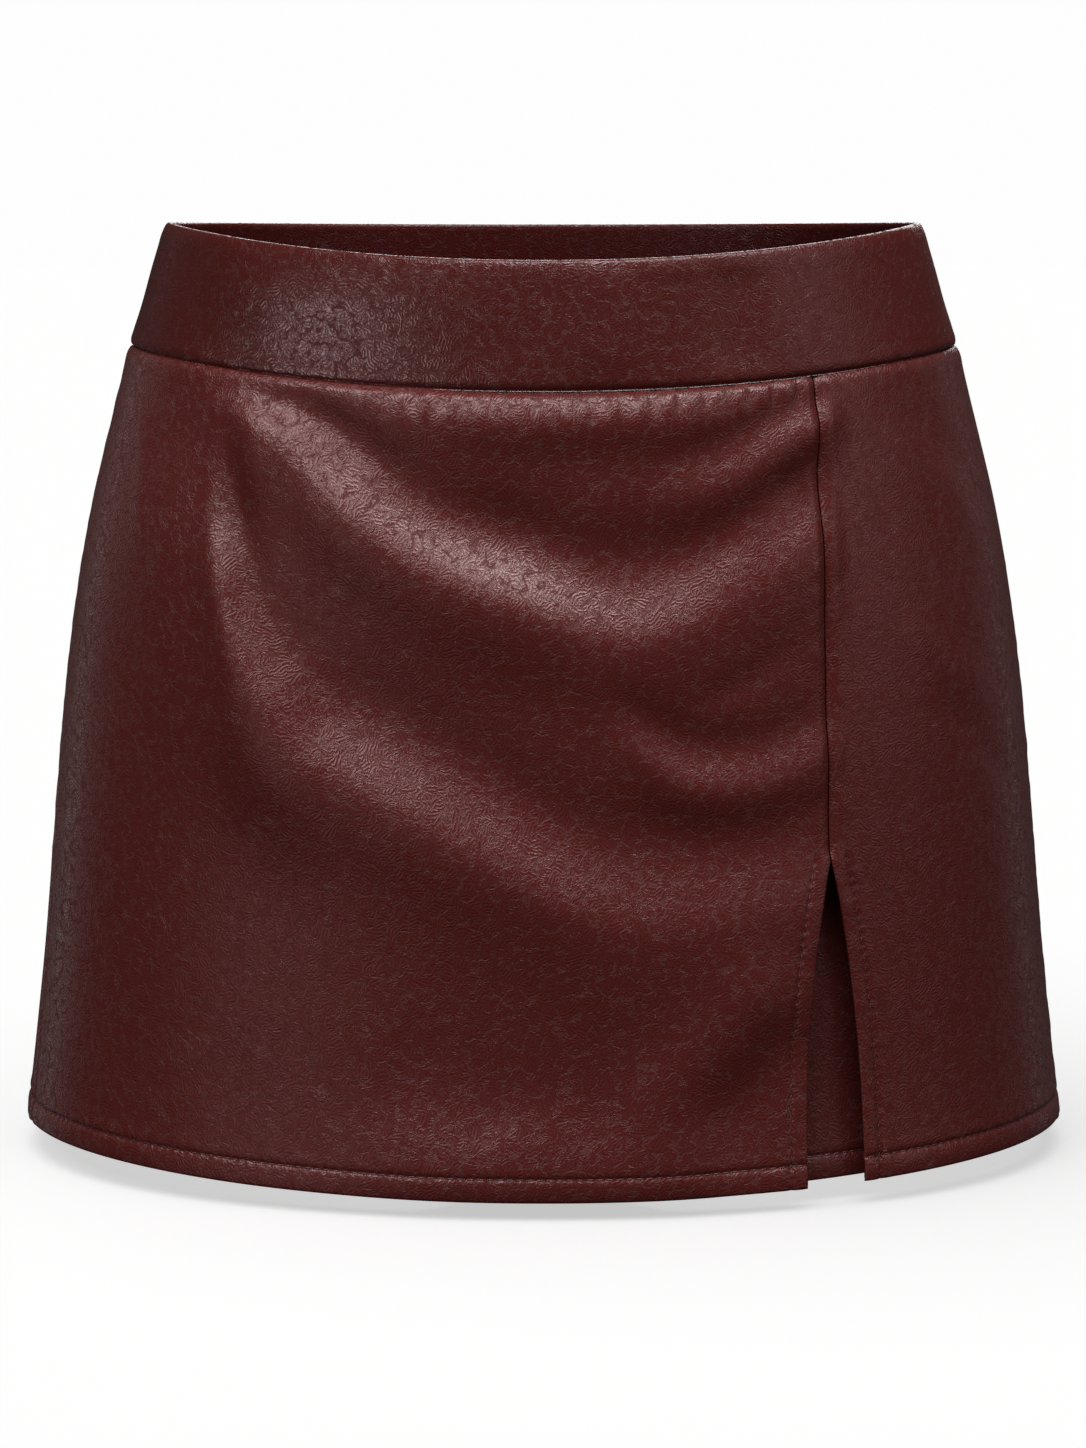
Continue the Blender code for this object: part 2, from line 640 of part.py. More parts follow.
def make_pull(axes):
    """The teardrop pull tab, whose eye hangs on the bridge; its origin is on the hinge axis."""
    turns = 2 * PULL_SIDES
    outer, eye = [], []
    for i in range(turns):
        around = 2.0 * math.pi * i / turns
        along = (1.0 - math.cos(around)) / 2.0
        side = math.sin(around)
        widest = PULL_NECK + (PULL_FOOT - PULL_NECK) * smooth(0.3, 0.9, along)
        half = widest * min(1.0, abs(side) * 1.9) ** 0.7
        outer.append((math.copysign(half, side), PULL_HEAD - along * (PULL_HEAD + PULL_LENGTH)))
        eye_half = EYE_HALF_WIDTH * min(1.0, abs(side) * 1.5) ** 0.5
        eye.append((math.copysign(eye_half, side), -PULL_HEAD - along * (EYE_END - PULL_HEAD)))
    shape = bmesh.new()
    loops = [[shape.verts.new((x, y, z)) for x, z in outline]
             for outline in (outer, eye) for y in (-PULL_WALL / 2, PULL_WALL / 2)]
    outer_in, outer_out, eye_in, eye_out = loops
    for first, second in ((outer_in, outer_out), (outer_out, eye_out), (eye_out, eye_in),
                          (eye_in, outer_in)):
        for i in range(turns):
            k = (i + 1) % turns
            shape.faces.new((first[i], first[k], second[k], second[i]))
    pull = add_object("zip_pull", shape, finish("zip_pull", LACQUER, 0.35, 0.6))
    pull.matrix_world = axes @ Matrix.Translation((0.0, PIVOT_OUT, 0.0))


def main():
    for item in list(bpy.data.objects):
        bpy.data.objects.remove(item, do_unlink=True)
    make_waistband()
    make_skirt()
    make_shorts()
    make_zip_chain()
    axes = slider_axes()
    make_slider(axes)
    make_pull(axes)


main()
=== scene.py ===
"""A mini skort in burgundy coated cloth, filled out with no wearer, in a plain pale studio.

+X is the wearer's left, -Y is the front and +Z is up. Lengths are in metres, and angles are in
degrees round the body from the centre front towards the wearer's left. A drop is measured down
the side from the top edge.
"""

import math
from collections import namedtuple

import bpy
import numpy as np
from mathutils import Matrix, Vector


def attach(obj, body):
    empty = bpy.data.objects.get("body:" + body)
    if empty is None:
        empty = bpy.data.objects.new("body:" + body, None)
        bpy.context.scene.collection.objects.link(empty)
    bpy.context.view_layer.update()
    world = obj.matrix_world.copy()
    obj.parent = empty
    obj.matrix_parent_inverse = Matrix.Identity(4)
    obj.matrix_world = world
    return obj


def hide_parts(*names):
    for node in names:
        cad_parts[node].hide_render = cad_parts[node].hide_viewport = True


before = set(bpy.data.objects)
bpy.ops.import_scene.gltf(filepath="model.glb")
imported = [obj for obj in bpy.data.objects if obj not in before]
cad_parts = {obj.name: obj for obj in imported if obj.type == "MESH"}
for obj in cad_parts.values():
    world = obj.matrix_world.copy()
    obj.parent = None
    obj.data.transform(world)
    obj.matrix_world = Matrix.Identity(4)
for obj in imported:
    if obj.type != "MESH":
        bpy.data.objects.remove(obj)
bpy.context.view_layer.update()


# ---------------------------------------------------------------- the waistband
# A wide contoured band in two pieces of polyurethane coated cloth, each folded over as its own
# facing, so the inside of the back shows the same embossed grain. Its top edge is a fold, and it
# is sewn to the skirt in a deep ditch.

SIDE_TOP_Z = 0.022          # height of the top edge at the sides
BAND_DROP = 0.0445          # depth of the band
RING_POWER = 2.1            # 2 gives ellipses, more gives squarer rings
SEAM_GAP = 0.0003           # between the edges of two sewn pieces
BAND_WALL = 0.0025          # outer cloth, facing and turnings

Ring = namedtuple("Ring", "drop half_width front_depth back_depth")
RINGS = (
    Ring(0.0000, 0.1372, 0.0980, 0.1070),   # top edge
    Ring(0.0150, 0.1418, 0.0997, 0.1090),
    Ring(0.0300, 0.1459, 0.1014, 0.1111),
    Ring(0.0445, 0.1504, 0.1030, 0.1130),   # the band's seam
    Ring(0.0600, 0.1542, 0.1053, 0.1158),
    Ring(0.0800, 0.1591, 0.1080, 0.1190),
    Ring(0.1000, 0.1637, 0.1103, 0.1221),
    Ring(0.1250, 0.1682, 0.1130, 0.1260),
    Ring(0.1500, 0.1716, 0.1155, 0.1282),
    Ring(0.1750, 0.1742, 0.1180, 0.1300),   # fullest hip
    Ring(0.2000, 0.1763, 0.1200, 0.1307),
    Ring(0.2300, 0.1786, 0.1225, 0.1315),
    Ring(0.2600, 0.1809, 0.1252, 0.1322),
    Ring(0.2900, 0.1838, 0.1281, 0.1330),
    Ring(0.3215, 0.1871, 0.1330, 0.1340),   # hem
)
# how far a ring drops at the centre front and the centre back; more power, the nearer the centre
Dip = namedtuple("Dip", "drop front back power")
DIPS = (Dip(0.0445, 0.0130, 0.0009, 2.0), Dip(0.3215, 0.0046, 0.0020, 3.0))
Seam = namedtuple("Seam", "drop angle")
ZIP_SEAM = (Seam(0.000, 98.0), Seam(0.045, 96.0), Seam(0.140, 90.0), Seam(0.211, 85.2),
            Seam(0.3215, 81.0))
PLAIN_SEAM = (Seam(0.000, -90.0), Seam(0.045, -88.5), Seam(0.080, -86.0), Seam(0.180, -82.0),
              Seam(0.260, -78.6), Seam(0.3215, -76.5))


def smooth(start, end, at):
    """0 before start, 1 after end and a soft step between."""
    t = np.clip((at - start) / (end - start), 0.0, 1.0)
    return t * t * (3.0 - 2.0 * t)


def curve(points, at):
    """Values on a smooth curve through (place, value) pairs in rising order."""
    places, values = np.array(points, dtype=float).T
    count = len(places)
    before = np.maximum(np.arange(count) - 1, 0)
    after = np.minimum(np.arange(count) + 1, count - 1)
    slopes = (values[after] - values[before]) / (places[after] - places[before])
    at = np.clip(at, places[0], places[-1])
    i = np.clip(np.searchsorted(places, at) - 1, 0, count - 2)
    span = places[i + 1] - places[i]
    rise = values[i + 1] - values[i]
    t = (at - places[i]) / span
    bend = t * (1.0 - t) * ((1.0 - t) * (slopes[i] * span - rise)
                            + t * (rise - slopes[i + 1] * span))
    return values[i] + t * rise + bend


def read(table, column, drop):
    """One column of a table of rows, at drops."""
    return curve([(row.drop, getattr(row, column)) for row in table], drop)


def shares(angle):
    """A ring's points as shares of its half width and depth."""
    side, ahead = np.sin(np.radians(angle)), np.cos(np.radians(angle))
    scale = (abs(side) ** RING_POWER + abs(ahead) ** RING_POWER) ** (-1.0 / RING_POWER)
    return scale * side, -scale * ahead


def ring_depth(along, drop):
    """Half depths of the rings, on the side of the body that along says."""
    return np.where(along < 0.0, read(RINGS, "front_depth", drop), read(RINGS, "back_depth", drop))


def level(drop, along):
    """Heights of points at drops; along is -1 at the centre front and 1 at the centre back."""
    dip = np.where(along < 0.0, read(DIPS, "front", drop), read(DIPS, "back", drop))
    return SIDE_TOP_Z - drop - dip * abs(along) ** read(DIPS, "power", drop)


def outward(angle, drop):
    """Level directions that point out of the rings."""
    across, along = shares(angle)
    x = np.sign(across) * abs(across) ** (RING_POWER - 1.0) / read(RINGS, "half_width", drop)
    y = np.sign(along) * abs(along) ** (RING_POWER - 1.0) / ring_depth(along, drop)
    length = np.hypot(x, y)
    return np.stack((x / length, y / length, 0.0 * x), axis=-1)


def ring_point(angle, drop, out=0.0):
    """Points of the body form, moved outward across the rings."""
    angle, drop, out = np.broadcast_arrays(angle, drop, out)
    across, along = shares(angle)
    point = np.stack((read(RINGS, "half_width", drop) * across, ring_depth(along, drop) * along,
                      level(drop, along)), axis=-1)
    return point + outward(angle, drop) * out[..., None]


def along_ring(angle, drop, distance):
    """The angles a distance further round the rings."""
    if distance == 0.0:
        return angle
    here = ring_point(angle, drop)
    turn = np.full(np.shape(angle), math.copysign(0.5, distance))
    for _ in range(4):
        reach = np.linalg.norm(ring_point(angle + turn, drop) - here, axis=-1)
        turn = turn * abs(distance) / reach
    return angle + turn


def zip_line(drop):
    return read(ZIP_SEAM, "angle", drop)


def plain_line(drop):
    return read(PLAIN_SEAM, "angle", drop)


def beside(line, gap, turns=0.0):
    """A piece's edge, a gap to one side of a seam line; turns counts it on past the back."""
    return lambda drop: along_ring(line(drop), drop, gap) + turns


def hump(off, width, at=0.0):
    """1 at a place, and falling softly to 0 over a width on both sides."""
    return np.exp(-((off - at) / width) ** 2)


RIPPLE_WAVES = 5


def ripple(along, seed, wave):
    """A soft uneven wave between about -1 and 1, of lengths near wave."""
    draw = np.random.default_rng(seed)
    total = 0.0
    for _ in range(RIPPLE_WAVES):
        length = wave * draw.uniform(0.6, 1.9)
        height = draw.uniform(0.5, 1.0)
        total = total + height * np.sin(2 * np.pi * (along / length + draw.random()))
    return total / RIPPLE_WAVES ** 0.5


RIM_STEPS = (0.0, 0.12, 0.4, 1.0)       # of half the wall, so that each edge is round


def rim(wall, *more):
    """Distances of the first columns or rows from an edge: the round edge, then others."""
    return [step * wall / 2 for step in RIM_STEPS] + list(more)


def spaced(first, last, step):
    """Places between two ends, at even steps no longer than step, without the ends."""
    return np.linspace(first, last, max(2, int(math.ceil((last - first) / step))) + 1)[1:-1]


CHORD_MARGIN = 1.08         # a ring's length over that of its two chords, at the most


def panel_grid(start, end, start_gaps, end_gaps, step, top, foot, top_gaps, foot_gaps):
    """Angles and drops of a panel's grid, finer at its edges."""
    drops = np.array([top + gap for gap in top_gaps]
                     + list(spaced(top + top_gaps[-1], foot - foot_gaps[-1], step))
                     + [foot - gap for gap in foot_gaps[::-1]])
    first = [along_ring(start(drops), drops, gap) for gap in start_gaps]
    last = [along_ring(end(drops), drops, -gap) for gap in end_gaps[::-1]]
    middle = (first[-1] + last[0]) / 2
    reach = np.linalg.norm(ring_point(first[-1], drops) - ring_point(middle, drops), axis=-1)
    reach += np.linalg.norm(ring_point(last[0], drops) - ring_point(middle, drops), axis=-1)
    shared = spaced(0.0, 1.0, step / (CHORD_MARGIN * reach.max()))
    inside = [first[-1] + (last[0] - first[-1]) * share for share in shared]
    angles = np.stack(first + inside + last, axis=1)
    return angles, np.repeat(drops[:, None], angles.shape[1], axis=1)


Cut = namedtuple("Cut", "u v start end top foot")


def lay_flat(points):
    """Distances across and down a grid, and from each of its edges."""
    u = np.zeros(points.shape[:2])
    v = np.zeros(points.shape[:2])
    u[:, 1:] = np.cumsum(np.linalg.norm(np.diff(points, axis=1), axis=-1), axis=1)
    v[1:] = np.cumsum(np.linalg.norm(np.diff(points, axis=0), axis=-1), axis=0)
    return Cut(u - u.mean(axis=1, keepdims=True), v, u, u[:, -1:] - u, v, v[-1:] - v)


def nearest_edge(cut):
    return np.minimum.reduce((cut.start, cut.end, cut.top, cut.foot))


def edge_roll(cut, wall):
    """How far the face falls towards an edge, so that the edge is a half round."""
    near = 1.0 - np.clip(nearest_edge(cut) / (wall / 2), 0.0, 1.0)
    return wall / 2 * (1.0 - np.sqrt(1.0 - near ** 2))


def add_object(name, data):
    """A new object in the scene."""
    made = bpy.data.objects.new(name, data)
    bpy.context.scene.collection.objects.link(made)
    return made


INSIDE_SHIFT = 0.9          # the inside face has its own stretch of grain


def closed_shell(name, face, back, cut, material, stitch=None):
    """A closed shell between two grids that meet at their edges, with a map in metres.

    stitch is the distance from the nearest row of stitches, and the place along it.
    """
    rows, columns = face.shape[:2]
    front = np.arange(rows * columns).reshape(rows, columns)
    rear = front.copy()
    rear[1:-1, 1:-1] = rows * columns + np.arange((rows - 2) * (columns - 2)).reshape(
        rows - 2, columns - 2)
    corners = np.concatenate((face.reshape(-1, 3), back[1:-1, 1:-1].reshape(-1, 3)))

    def quads(grid):
        return np.stack((grid[:-1, :-1], grid[1:, :-1], grid[1:, 1:], grid[:-1, 1:]),
                        axis=-1).reshape(-1, 4)

    faces = np.concatenate((quads(front), quads(rear)[:, ::-1]))
    a, b, c = (corners[faces[:, i]] for i in (0, 1, 2))
    if np.einsum("ij,ij->", a, np.cross(b, c)) < 0.0:
        faces = faces[:, ::-1]
    mesh = bpy.data.meshes.new(name)
    mesh.from_pydata(corners.tolist(), [], faces.tolist())
    flat = np.stack((cut.u, cut.v), axis=-1).reshape(-1, 2)
    half = len(faces) // 2
    places = np.empty((len(corners), 2))
    places[:rows * columns] = flat
    places[rows * columns:] = np.stack((cut.u, cut.v), axis=-1)[1:-1, 1:-1].reshape(-1, 2)
    loops = places[faces.reshape(-1)]
    loops[half * 4:, 0] += INSIDE_SHIFT
    mesh.uv_layers.new(name="cloth").data.foreach_set("uv", loops.reshape(-1))
    if stitch:
        for word, values in zip(("stitch_off", "stitch_along"), stitch):
            layer = mesh.attributes.new(word, "FLOAT", "POINT")
            full = np.full(len(corners), 1.0)
            full[:rows * columns] = np.broadcast_to(values, (rows, columns)).reshape(-1)
            layer.data.foreach_set("value", full)
    mesh.shade_smooth()
    mesh.materials.append(material)
    return add_object(name, mesh)


def linear(colour):
    """A colour for a shader, from its sRGB hex value."""
    parts = [int(colour[i:i + 2], 16) / 255 for i in (1, 3, 5)]
    return (*(p / 12.92 if p <= 0.04045 else ((p + 0.055) / 1.055) ** 2.4 for p in parts), 1.0)


def node(tree, kind, links=None, **settings):
    """A shader or geometry node, with its settings.

    links gives a socket a constant, an output to follow, or a node whose first output it follows.
    """
    made = tree.nodes.new(kind)
    for key, value in settings.items():
        setattr(made, key, value)
    for key, value in (links or {}).items():
        socket = made.inputs[key]
        if isinstance(value, bpy.types.Node):
            value = value.outputs[0]
        if isinstance(value, bpy.types.NodeSocket):
            tree.links.new(value, socket)
        else:
            socket.default_value = value
    return made


def start_material(name, finish):
    """A material, its tree and its shader. finish gives the constants of the shader's sockets."""
    material = bpy.data.materials.new(name)
    material.use_nodes = True
    shader = material.node_tree.nodes["Principled BSDF"]
    for socket, value in finish.items():
        shader.inputs[socket].default_value = value
    return material, material.node_tree, shader


# How many of the grain's marks fit in a metre of cloth, and how high they stand.
HAIR_PATCHES = 200.0        # patches of four hair lines, 5 mm
HAIR_BENDS = 90.0           # 11 mm
CRACK_CELLS = 170.0         # 6 mm
CRACK_BENDS = 260.0         # 4 mm
CRACK_BREAKS = 240.0        # 4 mm
SPECKS = 330.0              # 3 mm
PEBBLES = 1500.0            # 0.7 mm
CRACK_SWING = 0.0060        # how far a crack winds
HAIR_HEIGHT = 0.00006
PEBBLE_HEIGHT = 0.00008
STITCH_PITCH = 0.0033
PULL_WIDTH = 0.0013         # of the small pulls beside each needle hole
PULL_HEIGHT = 0.00018


def coated_cloth(name, colour, deep, rough, seed):
    """Polyurethane coated cloth: a glossy skin embossed with a swirling leather grain.

    The emboss gives the eye hair lines a little over 1 mm apart that run side by side and swirl,
    cut by short winding cracks, with specks that glint here and there and a pebble of under a
    millimetre. The ridges shine and the valleys are matt; the colour is painted a shade lighter on
    the ridges and darker in the valleys and cracks, as painted light and shade on the grain, so the
    grain shows in the highlights and fades beside them. seed moves the pattern, so that no two
    cloths match.
    """
    material, tree, shader = start_material(name, {
        "IOR": 1.45, "Specular Tint": linear("#ffe6e9")})
    cloth = node(tree, "ShaderNodeUVMap", uv_map="cloth")
    place = node(tree, "ShaderNodeMapping", {"Vector": cloth, "Location": (seed, 2 * seed, 0.0)})

    # hair lines in patches, whose direction turns with a slow noise
    sway = node(tree, "ShaderNodeTexNoise", {"Vector": place, "Scale": HAIR_BENDS, "Detail": 1.0},
                noise_dimensions="2D")
    turn = node(tree, "ShaderNodeMath", {0: sway, 1: 15.0}, operation="MULTIPLY")
    swirl = node(tree, "ShaderNodeTexGabor", {
        "Vector": place, "Scale": HAIR_PATCHES, "Frequency": 4.2, "Anisotropy": 0.9,
        4: turn}, gabor_type="2D").outputs["Phase"]
    phase = node(tree, "ShaderNodeMath", {0: swirl, 1: 2 * math.pi}, operation="MULTIPLY")
    wave = node(tree, "ShaderNodeMath", {0: phase}, operation="COSINE")
    lines = node(tree, "ShaderNodeMath", {0: wave, 1: 0.5, 2: 0.5}, operation="MULTIPLY_ADD")

    # short winding cracks between cells, broken off here and there
    bend = node(tree, "ShaderNodeTexNoise", {"Vector": place, "Scale": CRACK_BENDS, "Detail": 2.0},
                noise_dimensions="2D").outputs["Color"]
    bent = node(tree, "ShaderNodeVectorMath", {0: bend, 1: (CRACK_SWING, CRACK_SWING, 0.0),
                                               2: place}, operation="MULTIPLY_ADD")
    cells = node(tree, "ShaderNodeTexVoronoi", {"Vector": bent, "Scale": CRACK_CELLS},
                 voronoi_dimensions="2D", feature="DISTANCE_TO_EDGE").outputs["Distance"]
    whole = node(tree, "ShaderNodeMapRange", {"Value": cells, "From Min": 0.03, "From Max": 0.10,
                                              "To Min": 1.0, "To Max": 0.0})
    gaps = node(tree, "ShaderNodeTexNoise", {"Vector": place, "Scale": CRACK_BREAKS,
                                             "Detail": 1.0}, noise_dimensions="2D")
    kept = node(tree, "ShaderNodeMapRange", {"Value": gaps, "From Min": 0.44, "From Max": 0.54})
    cracks = node(tree, "ShaderNodeMath", {0: whole, 1: kept}, operation="MULTIPLY")
    relief = node(tree, "ShaderNodeMath", {0: cracks, 1: -1.1, 2: lines},
                  operation="MULTIPLY_ADD")

    # specks that stand up, and the pebble under everything
    dots = node(tree, "ShaderNodeTexVoronoi", {"Vector": place, "Scale": SPECKS},
                voronoi_dimensions="2D")
    specks = node(tree, "ShaderNodeMapRange", {"Value": dots, "From Min": 0.03, "From Max": 0.13,
                                               "To Min": 1.0, "To Max": 0.0})
    risen = node(tree, "ShaderNodeMath", {0: specks, 1: 0.7, 2: relief}, operation="MULTIPLY_ADD")
    pebble = node(tree, "ShaderNodeTexVoronoi", {"Vector": place, "Scale": PEBBLES,
                                                 "Randomness": 0.9}, voronoi_dimensions="2D")

    # needle holes and the small pulls beside them, along the rows of stitches
    off = node(tree, "ShaderNodeAttribute", attribute_name="stitch_off").outputs["Fac"]
    run = node(tree, "ShaderNodeAttribute", attribute_name="stitch_along").outputs["Fac"]
    ratio = node(tree, "ShaderNodeMath", {0: off, 1: PULL_WIDTH}, operation="DIVIDE")
    square = node(tree, "ShaderNodeMath", {0: ratio, 1: 2.0}, operation="POWER")
    fall = node(tree, "ShaderNodeMath", {0: square, 1: -1.0}, operation="MULTIPLY")
    near = node(tree, "ShaderNodeMath", {0: math.e, 1: fall}, operation="POWER")
    step = node(tree, "ShaderNodeMath", {0: run, 1: 2 * math.pi / STITCH_PITCH},
                operation="MULTIPLY")
    beat = node(tree, "ShaderNodeMath", {0: step}, operation="COSINE")
    pull = node(tree, "ShaderNodeMath", {0: beat, 1: -0.5, 2: 0.5}, operation="MULTIPLY_ADD")
    pulls = node(tree, "ShaderNodeMath", {0: near, 1: pull}, operation="MULTIPLY")

    height = node(tree, "ShaderNodeBump", {"Height": risen, "Strength": 1.0,
                                           "Distance": HAIR_HEIGHT})
    height = node(tree, "ShaderNodeBump", {"Height": pebble, "Strength": 0.12,
                                           "Distance": PEBBLE_HEIGHT, "Normal": height})
    height = node(tree, "ShaderNodeBump", {"Height": pulls, "Strength": 0.8,
                                           "Distance": PULL_HEIGHT, "Normal": height})
    tree.links.new(height.outputs[0], shader.inputs["Normal"])

    # painted light and shade: the skin's colour is painted a shade lighter where the grain stands
    # up and darker in the valleys and cracks; it is also glossier on the ridges and matt in the
    # cracks
    grain_painted_shade = node(tree, "ShaderNodeMath", {0: relief, 1: 0.12, 2: 0.32}, operation="MULTIPLY_ADD")
    painted_shade_colours = node(tree, "ShaderNodeMix", {"Factor": grain_painted_shade, 6: linear(deep), 7: linear(colour)},
                   data_type="RGBA")
    tree.links.new(painted_shade_colours.outputs[2], shader.inputs["Base Color"])
    matt = node(tree, "ShaderNodeMath", {0: cracks, 1: 0.40, 2: rough + 0.06},
                operation="MULTIPLY_ADD")
    gloss = node(tree, "ShaderNodeMath", {0: lines, 1: -0.20, 2: matt}, operation="MULTIPLY_ADD")
    tree.links.new(gloss.outputs[0], shader.inputs["Roughness"])
    return material


band_cloth = coated_cloth("coated_cloth_band", "#5b1f1c", "#3d1411", 0.36, 3.1)

# Soft swells and hollows of the band. A height below zero is a hollow, and a path
# gives angles and drops.
Crease = namedtuple("Crease", "height width path")
BAND_SWELLS = (
    # the wearer's right of the front, then the left, then the back's two sides
    Crease(0.0011, 0.0110, ((-60, 0.017), (-46, 0.014), (-30, 0.013), (-12, 0.012), (4, 0.013))),
    Crease(-0.0014, 0.0110, ((-56, 0.040), (-44, 0.040), (-31, 0.041), (-18, 0.043), (-6, 0.043))),
    Crease(0.0010, 0.0120, ((9, 0.000), (8, 0.020), (6, 0.045))),
    Crease(-0.0010, 0.0120, ((28, 0.000), (27, 0.022), (25, 0.045))),
    Crease(0.0009, 0.0100, ((128, 0.030), (146, 0.032), (166, 0.030))),
    Crease(-0.0008, 0.0110, ((196, 0.018), (216, 0.016), (240, 0.022))),
)


PATH_POINTS = 13            # of the line that a crease's distance is taken from
CREASE_GROWN = 0.3          # share of its path where a crease has its full height
CREASE_FADES = 0.7          # and from where it fades


def crease_height(points, creases):
    """How far creases lift points of the form, by their distance from each crease's path."""
    total = np.zeros(points.shape[:-1])
    for crease in creases:
        angles, drops = np.array(crease.path, dtype=float).T
        t = np.linspace(0.0, 1.0, PATH_POINTS)
        knots = np.linspace(0.0, 1.0, len(angles))
        path = ring_point(curve(list(zip(knots, angles)), t), curve(list(zip(knots, drops)), t))
        best = np.full(total.shape, 1.0)
        place = np.zeros(total.shape)
        for i in range(len(path) - 1):
            step = path[i + 1] - path[i]
            on = np.clip((points - path[i]) @ step / (step @ step), 0.0, 1.0)
            off = np.linalg.norm(points - path[i] - on[..., None] * step, axis=-1)
            closer = off < best
            best = np.where(closer, off, best)
            place = np.where(closer, (i + on) / (len(path) - 1), place)
        fade = smooth(0.0, CREASE_GROWN, place) * (1.0 - smooth(CREASE_FADES, 1.0, place))
        total += crease.height * fade * hump(best, crease.width)
    return total


# A ridge runs along an edge: its height, how much that varies and over what lengths, and how far
# from the edge it lies and how wide it is.
Ridge = namedtuple("Ridge", "height swing wave at width")
BAND_FOLD = Ridge(0.00022, 0.00012, 0.016, 0.0040, 0.0030)      # inside the folded top edge
BAND_LIP = Ridge(0.00022, 0.00012, 0.007, 0.0030, 0.0016)       # over the seam
BAND_GATHERS = Ridge(0.0, 0.00016, 0.011, 0.0, 0.0070)
BAND_PAD = 0.0004           # how far the turnings pad the band out
BAND_UNEVEN = 0.00022       # and how uneven they leave it
SlopeIn = namedtuple("SlopeIn", "deep width")       # how the cloth rolls into a seam
BAND_SEAM_IN = SlopeIn(0.0003, 0.0016)


def ridge_height(ridge, off, along, seed):
    """A ridge's height at distances from its edge and along it."""
    height = ridge.height + ridge.swing * ripple(along, seed, ridge.wave)
    return height * hump(off, ridge.width, ridge.at)


def band_face(angles, drops, cut):
    """How far the band stands out: it is padded by its turnings, uneven, and rolls to its seam."""
    high = crease_height(ring_point(angles, drops), BAND_SWELLS)
    high += BAND_PAD * smooth(0.0, 0.006, cut.top) * smooth(0.0, 0.008, cut.foot)
    high += BAND_UNEVEN * ripple(cut.u, 5, 0.055) * np.sin(np.pi * drops / BAND_DROP)
    high += ridge_height(BAND_GATHERS, cut.foot, cut.u, 8)
    high += ridge_height(BAND_FOLD, cut.top, cut.u, 9)
    high += ridge_height(BAND_LIP, cut.foot, cut.u, 10)
    return high - BAND_SEAM_IN.deep * hump(cut.foot, BAND_SEAM_IN.width)


band_rows = dict(step=0.0019, top=0.0, foot=BAND_DROP - SEAM_GAP / 2,
                 top_gaps=rim(BAND_WALL, 0.0026, 0.0040),
                 foot_gaps=rim(BAND_WALL, 0.0020, 0.0029, 0.0042))
band_edge = rim(BAND_WALL, 0.0022, 0.0034)
band_pieces = {}
for name, start, end, flat in (
        ("waistband_front", beside(plain_line, SEAM_GAP / 2), beside(zip_line, -SEAM_GAP / 2),
         (0.415, 0.060)),
        ("waistband_back", beside(zip_line, SEAM_GAP / 2), beside(plain_line, -SEAM_GAP / 2, 360.0),
         (0.410, 0.050))):
    angles, drops = panel_grid(start, end, band_edge, band_edge, **band_rows)
    cut = lay_flat(ring_point(angles, drops))
    high = band_face(angles, drops, cut)
    roll = edge_roll(cut, BAND_WALL)
    piece = closed_shell(name + "_cloth", ring_point(angles, drops, high - roll),
                         ring_point(angles, drops, roll - BAND_WALL), cut, band_cloth)
    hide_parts(name)
    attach(piece, "garment")
    band_pieces[name] = piece


# ---------------------------------------------------------------- the skirt
# A front in two panels that part at the thigh slit, and a back in one piece, all of the same
# coated cloth, sewn to the band. It hangs from the band in soft swags. The hem is turned up once
# and sewn down 8 mm from its fold, and the slit's edges are turned back and sewn 6 mm in.

HEM_DROP = 0.3215           # side length, top edge to hem
CLOTH_WALL = 0.0012
SlitSeam = namedtuple("SlitSeam", "drop across")
SLIT_SEAM = (SlitSeam(0.0445, 0.0935), SlitSeam(0.0950, 0.0955), SlitSeam(0.1300, 0.0964),
             SlitSeam(0.1550, 0.0970), SlitSeam(0.2180, 0.0979), SlitSeam(0.3215, 0.0979))
SLIT_TOP = 0.212            # drop at which the slit opens
SLIT_FRONT_SPREAD = 0.0088  # how far the large panel's edge has swung away at the hem
SLIT_FRONT_CURVE = 3.0
SLIT_SIDE_SPREAD = 0.0107   # and the narrow panel's edge
SLIT_SIDE_CURVE = 2.0

